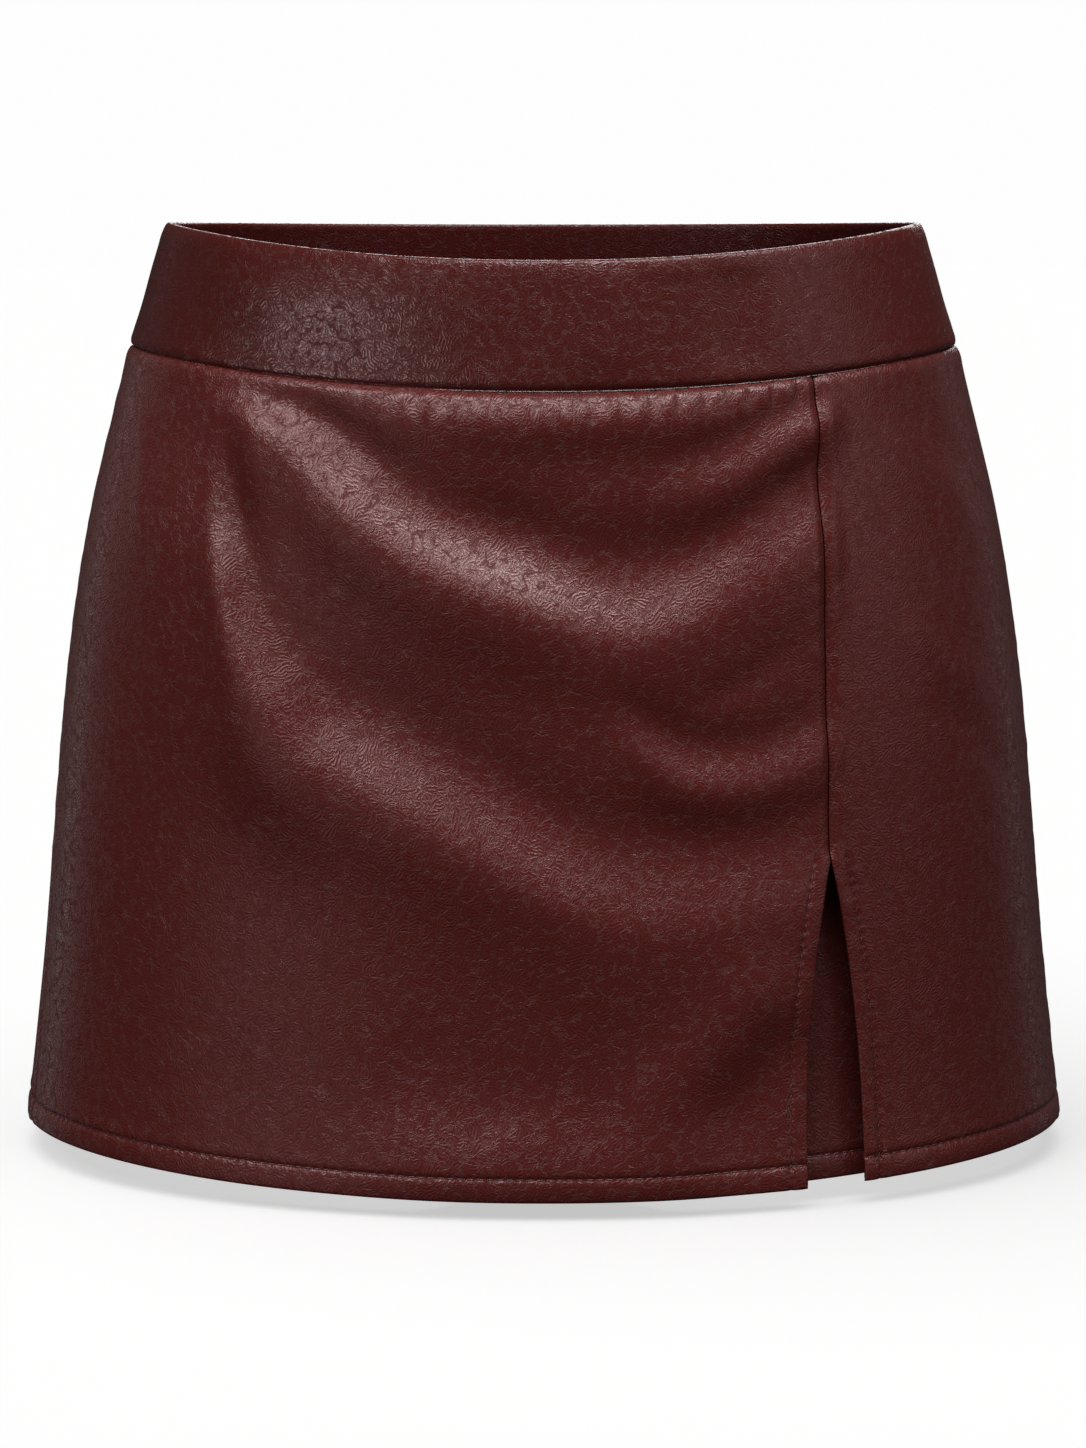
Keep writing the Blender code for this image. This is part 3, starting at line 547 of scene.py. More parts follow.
# A fold is a soft ridge with a trough above it. Its path gives the crest's angles and drops, and
# the share of the height there.
Fold = namedtuple("Fold", "height above below path")
TROUGH_SHARE = 0.65         # a trough's depth, of its ridge's height
FOLD_TOP = (0.045, 0.060)   # folds grow between these drops, below the band
FOLD_FOOT = (0.290, 0.322)  # and fade between these, above the hem
FOLDS = (
    # the upper and the lower swag, from the wearer's right hip to the slit's seam
    Fold(0.0048, 0.0125, 0.0240, (
        (-50.8, 0.051, 0), (-44.2, 0.058, 0.5), (-37.8, 0.067, 1), (-31.2, 0.076, 1),
        (-24.5, 0.090, 1), (-15.8, 0.107, 1), (-5, 0.120, 1), (6.5, 0.133, 0.85),
        (12.2, 0.134, 0.75), (19.5, 0.127, 0.62), (25.8, 0.117, 0.62), (33, 0.106, 0.6),
        (38.8, 0.099, 0))),
    Fold(0.0044, 0.0165, 0.0340, (
        (-45.8, 0.092, 0), (-40.5, 0.120, 0.6), (-36, 0.146, 1), (-28, 0.176, 1),
        (-15.8, 0.195, 0.95), (-4.8, 0.213, 0.9), (6, 0.232, 0.85), (17, 0.234, 0.75),
        (26.2, 0.231, 0.6), (30.5, 0.230, 0.4), (35, 0.230, 0))),
    # short ones above and between them, near the slit's seam
    Fold(0.0027, 0.0075, 0.0110, (
        (11.8, 0.088, 0), (18, 0.083, 0.35), (24, 0.078, 0.65), (30.5, 0.070, 1),
        (36.2, 0.064, 1), (41.8, 0.059, 0))),
    Fold(0.0024, 0.0085, 0.0130, (
        (5.2, 0.164, 0), (10.8, 0.174, 0.6), (16.2, 0.184, 1), (23.2, 0.186, 1),
        (28.2, 0.183, 0.8), (31.5, 0.179, 0.6), (35.5, 0.174, 0))),
    # the wearer's left hip
    Fold(0.0005, 0.0100, 0.0150, (
        (39, 0.062, 0), (52, 0.077, 1), (64, 0.098, 1), (79, 0.136, 0))),
    # the back swags, uneven like those in front
    Fold(0.0030, 0.0120, 0.0170, (
        (115, 0.066, 0), (129, 0.083, 0.9), (144, 0.104, 1), (168, 0.128, 1), (192, 0.132, 0.9),
        (216, 0.112, 0.9), (231, 0.092, 0.7), (245, 0.070, 0))),
    Fold(0.0028, 0.0140, 0.0190, (
        (125, 0.134, 0), (139, 0.161, 0.9), (152, 0.180, 1), (178, 0.204, 0.9), (206, 0.206, 1),
        (232, 0.172, 0.9), (241, 0.153, 0.6), (255, 0.120, 0))),
    Fold(0.0014, 0.0090, 0.0120, (
        (157, 0.163, 0), (171, 0.169, 1), (182, 0.172, 1), (195, 0.164, 1), (209, 0.156, 0))),
)

# The main creases beside the swags.
CREASES = (
    # from the wearer's right hip: inside the lower swag, beside it, and outside its steep start
    Crease(0.0026, 0.0130, ((-41.8, 0.093), (-36, 0.117), (-30.5, 0.145), (-24.5, 0.165))),
    Crease(0.0005, 0.0050, ((-66, 0.060), (-60, 0.085), (-56, 0.115))),
    Crease(0.0036, 0.0250, ((-54.5, 0.065), (-49.2, 0.096), (-44, 0.129), (-37.5, 0.160),
                            (-29, 0.186), (-19.2, 0.204))),
    # the swells that widen the upper and the lower swag, and a small one over them
    Crease(0.0015, 0.0210, ((-32.5, 0.080), (-23.8, 0.092), (-13.5, 0.107), (-3.8, 0.121),
                            (7.5, 0.134))),
    Crease(0.0016, 0.0170, ((-25.8, 0.172), (-15.8, 0.193), (-5.8, 0.209), (4, 0.220),
                            (13.8, 0.226))),
    Crease(0.0006, 0.0050, ((-40, 0.056), (-28, 0.068), (-16, 0.086))),
    # the hollow under the middle of the band, and the swell over the hem
    Crease(-0.0024, 0.0140, ((-14, 0.078), (-0.5, 0.092), (11.5, 0.099), (26.8, 0.092))),
    Crease(0.0026, 0.0150, ((-26, 0.307), (-6.5, 0.310), (10, 0.310), (22, 0.309))),
    # the soft diagonal below the slit's top, on the large panel
    Crease(0.0024, 0.0140, ((28.5, 0.239), (21.8, 0.261), (14.2, 0.283), (5.8, 0.304))),
    Crease(-0.0009, 0.0120, ((31, 0.262), (24, 0.284), (16, 0.308))),
    Crease(-0.0008, 0.0200, ((-18, 0.262), (-8, 0.285), (-4, 0.305))),
    # beside the slit's seam
    Crease(0.0006, 0.0060, ((31, 0.078), (26, 0.100), (18, 0.118))),
    Crease(-0.0005, 0.0050, ((30, 0.132), (24, 0.146), (14, 0.158))),
    # the wearer's left hip and the zip's end
    Crease(0.0006, 0.0080, ((44, 0.130), (54, 0.150), (66, 0.168))),
    Crease(-0.0005, 0.0070, ((48, 0.158), (60, 0.180), (74, 0.205))),
    # the back
    Crease(0.0007, 0.0060, ((116, 0.060), (124, 0.090), (128, 0.118))),
    Crease(-0.0006, 0.0070, ((150, 0.062), (164, 0.080), (180, 0.092))),
    Crease(0.0007, 0.0080, ((236, 0.058), (226, 0.084), (212, 0.098))),
    Crease(0.0009, 0.0140, ((150, 0.238), (164, 0.262), (176, 0.300))),
    Crease(-0.0008, 0.0160, ((196, 0.246), (206, 0.270), (214, 0.306))),
    Crease(0.0008, 0.0120, ((228, 0.214), (240, 0.244), (250, 0.286))),
)


def fold_height(angle, drop):
    """How far the swags stand out of the form, or lie in it."""
    total = 0.0
    for fold in FOLDS:
        angles, drops, heights = zip(*fold.path)
        middle = (angles[0] + angles[-1]) / 2.0
        near = middle + (angle - middle + 180.0) % 360.0 - 180.0
        share = np.clip(curve(list(zip(angles, heights)), near), 0.0, 1.0)
        off = drop - curve(list(zip(angles, drops)), near)
        ridge = hump(off, np.where(off > 0.0, fold.below, fold.above))
        trough = hump(off, fold.above, -2.0 * fold.above)
        total = total + fold.height * share * (ridge - TROUGH_SHARE * trough)
    return total * smooth(*FOLD_TOP, drop) * (1.0 - smooth(*FOLD_FOOT, drop))


def angle_across(across, drop):
    """The angles at which the front lies a given way across from the centre plane."""
    low, high = np.zeros(np.shape(drop)), np.full(np.shape(drop), 89.0)
    for _ in range(30):
        middle = (low + high) / 2.0
        short = ring_point(middle, drop)[..., 0] < across
        low, high = np.where(short, middle, low), np.where(short, high, middle)
    return low


def slit_edge(spread, power, side):
    """One front panel's edge, down the seam and then along the open slit."""
    def edge(drop):
        along = np.maximum(0.0, (drop - SLIT_TOP) / (HEM_DROP - SLIT_TOP))
        swing = spread * (1.0 - (1.0 - along) ** power)
        across = read(SLIT_SEAM, "across", drop) + side * (SEAM_GAP / 2 + swing)
        return angle_across(across, drop)
    return edge


HEM_WALL = 0.0022           # where an edge is turned back and sewn down
HEM_TURN = 0.0090           # width of the turned edge
TURN_STEP = 0.0004          # half the run of the step where it ends
HEM_STITCH = 0.0079         # from the fold to the row of stitches
SLIT_STITCH = 0.0060
SLIT_OPENS = (SLIT_TOP - 0.0030, SLIT_TOP - 0.0005)     # drops over which its edges part
SIDE_SEAM_IN = SlopeIn(0.0005, 0.0014)
SLIT_SEAM_IN = SlopeIn(0.0011, 0.0017)
SEAM_PUFF = Ridge(0.00022, 0.00014, 0.012, 0.0042, 0.0026)      # beside a seam
HEM_PUFF = Ridge(0.00042, 0.00012, 0.009, 0.0, 0.0)             # between the fold and the stitches
BEYOND_STITCHES = Ridge(0.00014, 0.00010, 0.008, 0.0026, 0.0018)
GROOVE = 0.00040            # depth of the groove that the stitches lie in
GROOVE_WIDTH = 0.0008


def sewn_edge(off, along, seed, deep, width):
    """Beside a seam the cloth rolls in, then puffs up a little in uneven gathers."""
    return ridge_height(SEAM_PUFF, off, along, seed) - deep * hump(off, width)


def turned_edge(off, along, stitch, seed):
    """A turned edge puffs between its fold and its stitches, and the stitches lie in a groove."""
    puff = HEM_PUFF.height + HEM_PUFF.swing * ripple(along, seed, HEM_PUFF.wave)
    arch = np.sin(np.pi * np.clip(off / stitch, 0.0, 1.0)) ** 0.7
    beyond = ridge_height(BEYOND_STITCHES, off - stitch, along, seed + 1)
    return puff * arch + beyond - GROOVE * hump(off, GROOVE_WIDTH, stitch)


def turned_back(off):
    """1 where the cloth beside a fold is double, 0 beyond."""
    return 1.0 - smooth(HEM_TURN - TURN_STEP, HEM_TURN + TURN_STEP, off)


# Under the middle of the band the cloth rolls out from the seam, in gathers.
MIDDLE = (0.012, 0.076)     # across, and how far that reaches to both sides
TOP_SEAM_IN = (0.0006, 0.0018)      # depth of the roll into the seam, and more in the middle
TOP_SEAM_WIDTH = 0.0013
GATHERS = Ridge(0.0, 0.00100, 0.0075, 0.0045, 0.0045)
GATHERS_ELSEWHERE = 0.08
ROLL = 0.0036
ROLL_CREST = 0.0100         # below the seam
ROLL_ABOVE = 0.0074
ROLL_BELOW = 0.0115


def skirt_face(panel, angles, drops, form, cut, open_slit):
    """How far a panel stands out of the form: its swags and creases, its seams and its hem."""
    high = fold_height(angles, drops) + crease_height(form, CREASES)
    middle = hump(form[..., 0], MIDDLE[1], MIDDLE[0]) * (form[..., 1] < 0.0)
    deep = TOP_SEAM_IN[0] + TOP_SEAM_IN[1] * middle
    high += sewn_edge(cut.top, cut.u, panel.seed, deep, TOP_SEAM_WIDTH)
    gathers = ridge_height(GATHERS, cut.top, cut.u, panel.seed + 70)
    high += (GATHERS_ELSEWHERE + middle) * gathers
    width = np.where(cut.top < ROLL_CREST, ROLL_ABOVE, ROLL_BELOW)
    high += ROLL * middle * hump(cut.top, width, ROLL_CREST)
    high += turned_edge(cut.foot, cut.u, HEM_STITCH, panel.seed + 20)
    for side, off in (("start", cut.start), ("end", cut.end)):
        slope = SLIT_SEAM_IN if side == panel.slit else SIDE_SEAM_IN
        seam = sewn_edge(off, cut.v, panel.seed + 40, *slope)
        if side == panel.slit:
            turned = turned_edge(off, cut.v, SLIT_STITCH, panel.seed + 60)
            seam = seam * (1.0 - open_slit) + turned * open_slit
        high += seam
    return high


skirt_cloth = coated_cloth("coated_cloth_skirt", "#5b1f1c", "#3d1411", 0.36, 7.7)
slit_front = slit_edge(SLIT_FRONT_SPREAD, SLIT_FRONT_CURVE, -1)
slit_side = slit_edge(SLIT_SIDE_SPREAD, SLIT_SIDE_CURVE, 1)
# slit names the side of a panel that lies at the slit, and step is the grid's.
SkirtPanel = namedtuple("SkirtPanel", "name start end slit flat area seed step")
SKIRT_PANELS = (
    SkirtPanel("front_main_panel", beside(plain_line, SEAM_GAP / 2), slit_front, "end",
               (0.350, 0.300), 0.0900, 11, 0.0018),
    SkirtPanel("front_side_panel", slit_side, beside(zip_line, -SEAM_GAP / 2), "start",
               (0.160, 0.292), 0.0365, 12, 0.0018),
    SkirtPanel("back_panel", beside(zip_line, SEAM_GAP / 2),
               beside(plain_line, -SEAM_GAP / 2, 360.0), "", (0.540, 0.294), 0.1450, 13,
               0.0026),
)
sewn_columns = rim(CLOTH_WALL, 0.0012, 0.0020, 0.0030, 0.0044)
slit_columns = rim(CLOTH_WALL, 0.0011, 0.0022, 0.0036, 0.0048, 0.0055, SLIT_STITCH, 0.0066,
                   0.0074, 0.0087, 0.0094)
hem_rows = rim(CLOTH_WALL, 0.0011, 0.0022, 0.0040, 0.0058, 0.0069, 0.0075, HEM_STITCH, 0.0084,
               0.0088, 0.0094, 0.0106)
STITCH_AWAY = 0.01          # puts the slit's stitches out of reach of the cloth above it
skirt_grids = {}
for panel in SKIRT_PANELS:
    angles, drops = panel_grid(panel.start, panel.end,
                               slit_columns if panel.slit == "start" else sewn_columns,
                               slit_columns if panel.slit == "end" else sewn_columns,
                               panel.step, BAND_DROP + SEAM_GAP / 2, HEM_DROP, sewn_columns,
                               hem_rows)
    form = ring_point(angles, drops)
    cut = lay_flat(form)
    open_slit = smooth(*SLIT_OPENS, drops)
    high = skirt_face(panel, angles, drops, form, cut, open_slit)
    turned = turned_back(cut.foot)
    stitch_off, stitch_along = abs(cut.foot - HEM_STITCH), cut.u
    if panel.slit:
        off = cut.start if panel.slit == "start" else cut.end
        turned = np.maximum(turned, turned_back(off) * open_slit)
        beside_slit = abs(off - SLIT_STITCH) + STITCH_AWAY * (1.0 - open_slit)
        stitch_along = np.where(beside_slit < stitch_off, cut.v, stitch_along)
        stitch_off = np.minimum(stitch_off, beside_slit)
    wall = CLOTH_WALL + (HEM_WALL - CLOTH_WALL) * turned
    wall = np.where(nearest_edge(cut) < CLOTH_WALL / 2, CLOTH_WALL, wall)
    roll = edge_roll(cut, CLOTH_WALL)
    face = ring_point(angles, drops, high - roll)
    rear = ring_point(angles, drops, high - wall + roll)
    piece = closed_shell(panel.name + "_cloth", face, rear, cut, skirt_cloth,
                         (stitch_off, stitch_along))
    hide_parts(panel.name)
    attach(piece, "garment")
    skirt_grids[panel.name] = (face, angles, drops, cut.foot[:, 5])


# ---------------------------------------------------------------- the shorts
# Two legs in a front and a back piece each, of the skirt's coated cloth, a little rougher and
# painted a shade darker as painted shade inside the skirt, sewn into the waistband's seam.
# Through the slit the left leg's front shows, and its hem, turned up and sewn down 8 mm from its
# fold like the skirt's.

# room: from the skirt's form in to the shorts' face. inseam: from the centre plane.
Leg = namedtuple("Leg", "drop room inseam")
LEGS = (Leg(0.0445, 0.0018, 0.0), Leg(0.0600, 0.0054, 0.0), Leg(0.0800, 0.0074, 0.0),
        Leg(0.1100, 0.0078, 0.0), Leg(0.1500, 0.0078, 0.0), Leg(0.2280, 0.0079, 0.0),
        Leg(0.2360, 0.0080, 0.0012), Leg(0.2700, 0.0084, 0.0042), Leg(0.3212, 0.0088, 0.0070))
SHORTS_DROP = 0.3212
LEG_ROUND = 0.042           # half width over which a leg's inner side is rounded
SPLIT_TOP = 0.090           # above this drop the two halves form one ring
CROTCH_DROP = 0.228         # below it each leg is a ring of its own
CROTCH_CURVE = 1.5
SHORTS_WALL = 0.0010
ZIP_END = 0.2120
ZIP_ROOM = 0.0066           # how far the shorts are set back from the seam beside the zip
ZIP_PULL_IN = (0.016, 0.060)    # they follow the skirt this near the zip, and leave it here
ZIP_LAYER_GAP = 0.0006      # between the skirt and the shorts there
ZIP_LET_GO = 0.030          # length below the zip's end over which they leave it
ZIP_CLOSE = 0.006           # and over which their side seam closes
FLAT_COLUMNS = 24           # of a shorts piece's grid, before the rounded inner side
INNER_COLUMNS = 20          # and round it, closer together towards its end
INNER_CLOSER = 1.15


def leg_split(drop):
    """0 where the two halves form one ring, 1 where each leg is a ring of its own."""
    return np.clip((drop - SPLIT_TOP) / (CROTCH_DROP - SPLIT_TOP), 0.0, 1.0) ** CROTCH_CURVE


def inseam(drop):
    """Distance of a leg's inner edge, or of the centre seam above it, from the centre plane."""
    return np.maximum(SEAM_GAP / 2, read(LEGS, "inseam", drop))


def shorts_room(angle, drop):
    """How far the shorts lie inside the form; beside the zip they lie against the skirt."""
    room = read(LEGS, "room", drop)
    away = abs(ring_point(angle, drop)[..., 1] - ring_point(zip_line(drop), drop)[..., 1])
    near = (1.0 - smooth(*ZIP_PULL_IN, away)) * (angle > 0.0)
    near = near * (1.0 - smooth(ZIP_END, ZIP_END + ZIP_LET_GO, drop))
    return room + (CLOTH_WALL + ZIP_LAYER_GAP - fold_height(angle, drop) - room) * near


def shorts_point(angle, inner, drop, out):
    """Points of the shorts. inner grows from 0 to 1 over the rounded inner side of a leg."""
    point = ring_point(angle, drop, -shorts_room(angle, drop))
    normal = outward(angle, drop)
    split = leg_split(drop)
    close = np.sqrt(1.0 - (split * inner) ** 2)
    side = np.sign(point[..., 0])
    lean = abs(point[..., 1] * normal[..., 1]) * split ** 2 * inner / LEG_ROUND
    bent = np.stack((normal[..., 0] * close ** 2 - side * lean, normal[..., 1] * close,
                     0.0 * close), axis=-1)
    bent /= np.linalg.norm(bent, axis=-1, keepdims=True)
    on_inner = inner > 0.0
    normal = np.where(on_inner[..., None], bent, normal)
    x = np.where(on_inner, side * (inseam(drop) + LEG_ROUND * (1.0 - inner)), point[..., 0])
    flat = np.stack((x, point[..., 1] * close, level(drop, shares(angle)[1] * close)), axis=-1)
    return flat + normal * out[..., None]


def shorts_grid(side, seat, drops, side_gaps):
    """Angles and inner shares, from the side seam to the centre seam or the inseam."""
    room = SEAM_GAP / 2
    if side > 0:
        room = room + (ZIP_ROOM - room) * (1.0 - smooth(ZIP_END, ZIP_END + ZIP_CLOSE, drops))
    room = room + 0.0 * drops
    turn = side if seat else -side
    seam = (zip_line if side > 0 else plain_line)(drops)
    scale = np.linalg.norm(ring_point(seam + 0.5, drops) - ring_point(seam - 0.5, drops), axis=-1)
    start = seam + turn * room / scale
    near = [start + turn * gap / scale for gap in side_gaps]
    middle = angle_across(inseam(drops) + LEG_ROUND, drops)
    middle = side * (180.0 - middle if seat else middle)
    shared = np.linspace(0.0, 1.0, FLAT_COLUMNS + 1)[1:]
    columns = near + [near[-1] + (middle - near[-1]) * share for share in shared]
    inner = [0.0 * drops for _ in columns]
    depth = abs(ring_point(middle, drops, -read(LEGS, "room", drops))[..., 1])
    last = np.sqrt(1.0 - (SEAM_GAP / 2 / depth) ** 2) / np.maximum(leg_split(drops), 0.5)
    end = np.arccos(np.minimum(1.0, last))
    for i in range(1, INNER_COLUMNS + 1):
        t = 1.0 - (1.0 - i / INNER_COLUMNS) ** INNER_CLOSER
        share = np.cos(math.pi / 2 + (end - math.pi / 2) * t)
        angle = angle_across(inseam(drops) + LEG_ROUND * (1.0 - share), drops)
        columns.append(side * (180.0 - angle if seat else angle))
        inner.append(share)
    return np.stack(columns, axis=1), np.stack(inner, axis=1)


# painted shade: the shorts' cloth is painted a shade darker than the skirt's, as the shade they lie
# in inside the skirt
shorts_cloth_painted_darker = coated_cloth("coated_cloth_shorts", "#551d1b", "#391310", 0.42, 12.4)
shorts_side = rim(SHORTS_WALL, 0.0012, 0.0024, 0.0045, 0.0070, 0.0100)
above_crotch = (0.0175, 0.0125, 0.0085, 0.0055, 0.0035, 0.0020, 0.0010, 0.0)
below_crotch = (0.0015, 0.0035, 0.0065)
shorts_hem = (0.0110, 0.0094, 0.0088, 0.0084, HEM_STITCH, 0.0075, 0.0069, 0.0055, 0.0038, 0.0022,
              0.0011, 0.0005, 0.0002, 0.00006, 0.0)
shorts_rows = np.array(
    [BAND_DROP + SEAM_GAP + gap for gap in rim(SHORTS_WALL, 0.0012, 0.0030)]
    + list(spaced(BAND_DROP + SEAM_GAP + 0.0030, CROTCH_DROP - above_crotch[0], 0.0055))
    + [CROTCH_DROP - gap for gap in above_crotch]
    + [CROTCH_DROP + gap for gap in below_crotch]
    + list(spaced(CROTCH_DROP + below_crotch[-1], SHORTS_DROP - shorts_hem[0], 0.0050))
    + [SHORTS_DROP - gap for gap in shorts_hem])
SHORTS_WAVE = 0.0004        # how unevenly the cloth hangs below the hips
SHORTS_SEAM_IN = SlopeIn(0.0004, 0.0014)
shorts_grids = {}
for name, side, seat, area in (("shorts_front_left", 1, False, 0.0680),
                               ("shorts_back_left", 1, True, 0.0744),
                               ("shorts_front_right", -1, False, 0.0655),
                               ("shorts_back_right", -1, True, 0.0782)):
    angles, inner = shorts_grid(side, seat, shorts_rows, shorts_side)
    drops = np.repeat(shorts_rows[:, None], angles.shape[1], axis=1)
    cut = lay_flat(shorts_point(angles, inner, drops, 0.0 * angles))
    high = turned_edge(cut.foot, cut.u, HEM_STITCH, 80 + side)
    high += SHORTS_WAVE * ripple(cut.v, 83 + side, 0.05) * smooth(0.03, 0.10, cut.top)
    high -= SHORTS_SEAM_IN.deep * hump(cut.start, SHORTS_SEAM_IN.width)
    high *= smooth(0.0005, 0.0060, cut.end)
    wall = SHORTS_WALL + (HEM_WALL - SHORTS_WALL) * turned_back(cut.foot)
    wall = np.where(nearest_edge(cut) < SHORTS_WALL / 2, SHORTS_WALL, wall)
    roll = edge_roll(cut, SHORTS_WALL)
    face = shorts_point(angles, inner, drops, high - roll)
    rear = shorts_point(angles, inner, drops, high - wall + roll)
    piece = closed_shell(name + "_cloth", face, rear, cut, shorts_cloth_painted_darker,
                         (abs(cut.foot - HEM_STITCH), cut.u))
    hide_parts(name)
    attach(piece, "garment")
    shorts_grids[name] = (face, cut.foot[:, 5])


# ---------------------------------------------------------------- the rows of stitches
# Lockstitch in bonded polyester thread, in the cloth's shade: ten stitches in 33 mm, each pulled
# down at its needle holes and shining a little along its middle.

THREAD_LENGTH = 0.0027
THREAD_HALF_WIDTH = 0.00028
THREAD_SINK = -0.00005      # from the cloth's face to the middle of a thread
THREAD_AIM = 0.0004         # how far to both sides of a stitch its direction is read
TWISTS = 900.0              # in a metre of thread, coarser than real so that they show

# Bonded polyester: a smooth hard thread, whose twist breaks its shine into fine slanting lines.
thread, tree, shader = start_material("bonded_polyester_thread", {"Roughness": 0.36})
spot = node(tree, "ShaderNodeTexCoord").outputs["Object"]
twist = node(tree, "ShaderNodeTexWave", {"Vector": spot, "Scale": TWISTS, "Distortion": 2.0},
             bands_direction="DIAGONAL").outputs["Fac"]
lift = node(tree, "ShaderNodeBump", {"Height": twist, "Strength": 0.4, "Distance": 0.00006})
tree.links.new(lift.outputs[0], shader.inputs["Normal"])
# painted light and shade: the thread's colour is painted lighter on the twist's ridges and darker
# in its grooves
twist_painted_light_and_shade = node(tree, "ShaderNodeMix", {"Factor": twist, 6: linear("#2c0f10"), 7: linear("#4e2022")},
             data_type="RGBA")
tree.links.new(twist_painted_light_and_shade.outputs[2], shader.inputs["Base Color"])


def stitch_tree():
    """Geometry Nodes: a short thread on each point, along and outward as its attributes say."""
    tree = bpy.data.node_groups.new("stitches", "GeometryNodeTree")
    sockets = tree.interface
    sockets.new_socket("Geometry", in_out="INPUT", socket_type="NodeSocketGeometry")
    for word in ("Length", "Half width"):
        sockets.new_socket(word, in_out="INPUT", socket_type="NodeSocketFloat")
    sockets.new_socket("Thread", in_out="INPUT", socket_type="NodeSocketMaterial")
    sockets.new_socket("Geometry", in_out="OUTPUT", socket_type="NodeSocketGeometry")
    given = node(tree, "NodeGroupInput").outputs
    ball = node(tree, "GeometryNodeMeshUVSphere", {"Segments": 8, "Rings": 6, "Radius": 1.0})
    half = node(tree, "ShaderNodeMath", {0: given["Length"], 1: 0.5}, operation="MULTIPLY")
    size = node(tree, "ShaderNodeCombineXYZ", {"X": half, "Y": given["Half width"],
                                               "Z": given["Half width"]})
    shape = node(tree, "GeometryNodeTransform", {"Geometry": ball, "Scale": size})
    along = node(tree, "GeometryNodeInputNamedAttribute", {"Name": "along"},
                 data_type="FLOAT_VECTOR")
    out = node(tree, "GeometryNodeInputNamedAttribute", {"Name": "out"}, data_type="FLOAT_VECTOR")
    turn = node(tree, "FunctionNodeAxesToRotation", {"Primary Axis": along, "Secondary Axis": out},
                primary_axis="X", secondary_axis="Z")
    placed = node(tree, "GeometryNodeInstanceOnPoints", {
        "Points": given["Geometry"], "Instance": shape, "Rotation": turn})
    real = node(tree, "GeometryNodeRealizeInstances", {"Geometry": placed})
    made = node(tree, "GeometryNodeSetMaterial", {"Geometry": real, "Material": given["Thread"]})
    smoothed = node(tree, "GeometryNodeSetShadeSmooth", {"Geometry": made})
    node(tree, "NodeGroupOutput", {0: smoothed}, is_active_output=True)
    return tree


stitches = stitch_tree()


def sew(name, points, outs):
    """A row of stitches along a line of points, turned into one plain mesh."""
    steps = np.linalg.norm(np.diff(points, axis=0), axis=1)
    run = np.concatenate(([0.0], np.cumsum(steps)))
    count = int(run[-1] / STITCH_PITCH)
    at = (np.arange(count) + 0.5) * run[-1] / count

    def read_at(values, places):
        return np.stack([np.interp(places, run, values[:, i]) for i in range(3)], axis=1)

    mesh = bpy.data.meshes.new(name)
    mesh.from_pydata(read_at(points, at).tolist(), [], [])
    along = read_at(points, at + THREAD_AIM) - read_at(points, at - THREAD_AIM)
    for word, values in (("along", along), ("out", read_at(outs, at))):
        mesh.attributes.new(word, "FLOAT_VECTOR", "POINT").data.foreach_set(
            "vector", values.reshape(-1))
    guide = add_object(name + "_guide", mesh)
    nodes = guide.modifiers.new("stitches", "NODES")
    nodes.node_group = stitches
    values = {"Length": THREAD_LENGTH, "Half width": THREAD_HALF_WIDTH, "Thread": thread}
    for socket in stitches.interface.items_tree:
        if socket.in_out == "INPUT" and socket.name in values:
            nodes[socket.identifier] = values[socket.name]
    guide.update_tag()
    done = bpy.data.meshes.new_from_object(
        guide.evaluated_get(bpy.context.evaluated_depsgraph_get()))
    bpy.data.objects.remove(guide)
    piece = add_object(name, done)
    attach(piece, "garment")


ROW_ENDS = slice(4, -4)     # a hem's stitches stop at the columns beside its ends
SLIT_FIRST = 0.001          # from the slit's top to its first stitch
for name, (face, angles, drops, foot_gaps) in skirt_grids.items():
    short = name.replace("_panel", "")
    row = int(np.argmin(abs(foot_gaps - HEM_STITCH)))
    top = int(np.argmin(abs(drops[:, 0] - SLIT_TOP - SLIT_FIRST)))
    lines = {"_hem_stitches": (row, ROW_ENDS)}
    if name == "front_main_panel":
        lines["_slit_stitches"] = (slice(top, row), -1 - slit_columns.index(SLIT_STITCH))
    elif name == "front_side_panel":
        lines["_slit_stitches"] = (slice(top, row), slit_columns.index(SLIT_STITCH))
    for word, line in lines.items():
        outs = outward(angles[line], drops[line])
        sew(short + word, face[line] + outs * THREAD_SINK, outs)
for name, (face, foot_gaps) in shorts_grids.items():
    row = int(np.argmin(abs(foot_gaps - HEM_STITCH)))
    line = face[row, ROW_ENDS]
    outs = np.cross(np.gradient(line, axis=0), (0.0, 0.0, 1.0))
    outs /= np.linalg.norm(outs, axis=1, keepdims=True)
    if np.sum(outs * (line - line.mean(axis=0))) < 0.0:
        outs = -outs
    sew(name + "_hem_stitches", line, outs)


# ---------------------------------------------------------------- the zip
# A concealed zip: polyester tape with a nylon coil sewn to it, closed, behind the left side seam.
# Its slider and teardrop tab are zinc alloy, lacquered in the cloth's colour.

WEFTS = 520.0               # in a metre of tape, one in 2 mm, coarser than real so that they show
PEEL = 1400.0               # orange peel of the lacquer, 0.7 mm

# Woven polyester: a matt ribbed band that takes the light without a highlight.
tape, tree, shader = start_material("woven_polyester_tape", {
    "Base Color": linear("#35161a"), "Roughness": 0.8})
spot = node(tree, "ShaderNodeTexCoord").outputs["Object"]
weave = node(tree, "ShaderNodeTexWave", {"Vector": spot, "Scale": WEFTS}, bands_direction="Z")
lift = node(tree, "ShaderNodeBump", {"Height": weave.outputs["Fac"], "Strength": 0.5,
                                     "Distance": 0.0001})
tree.links.new(lift.outputs[0], shader.inputs["Normal"])

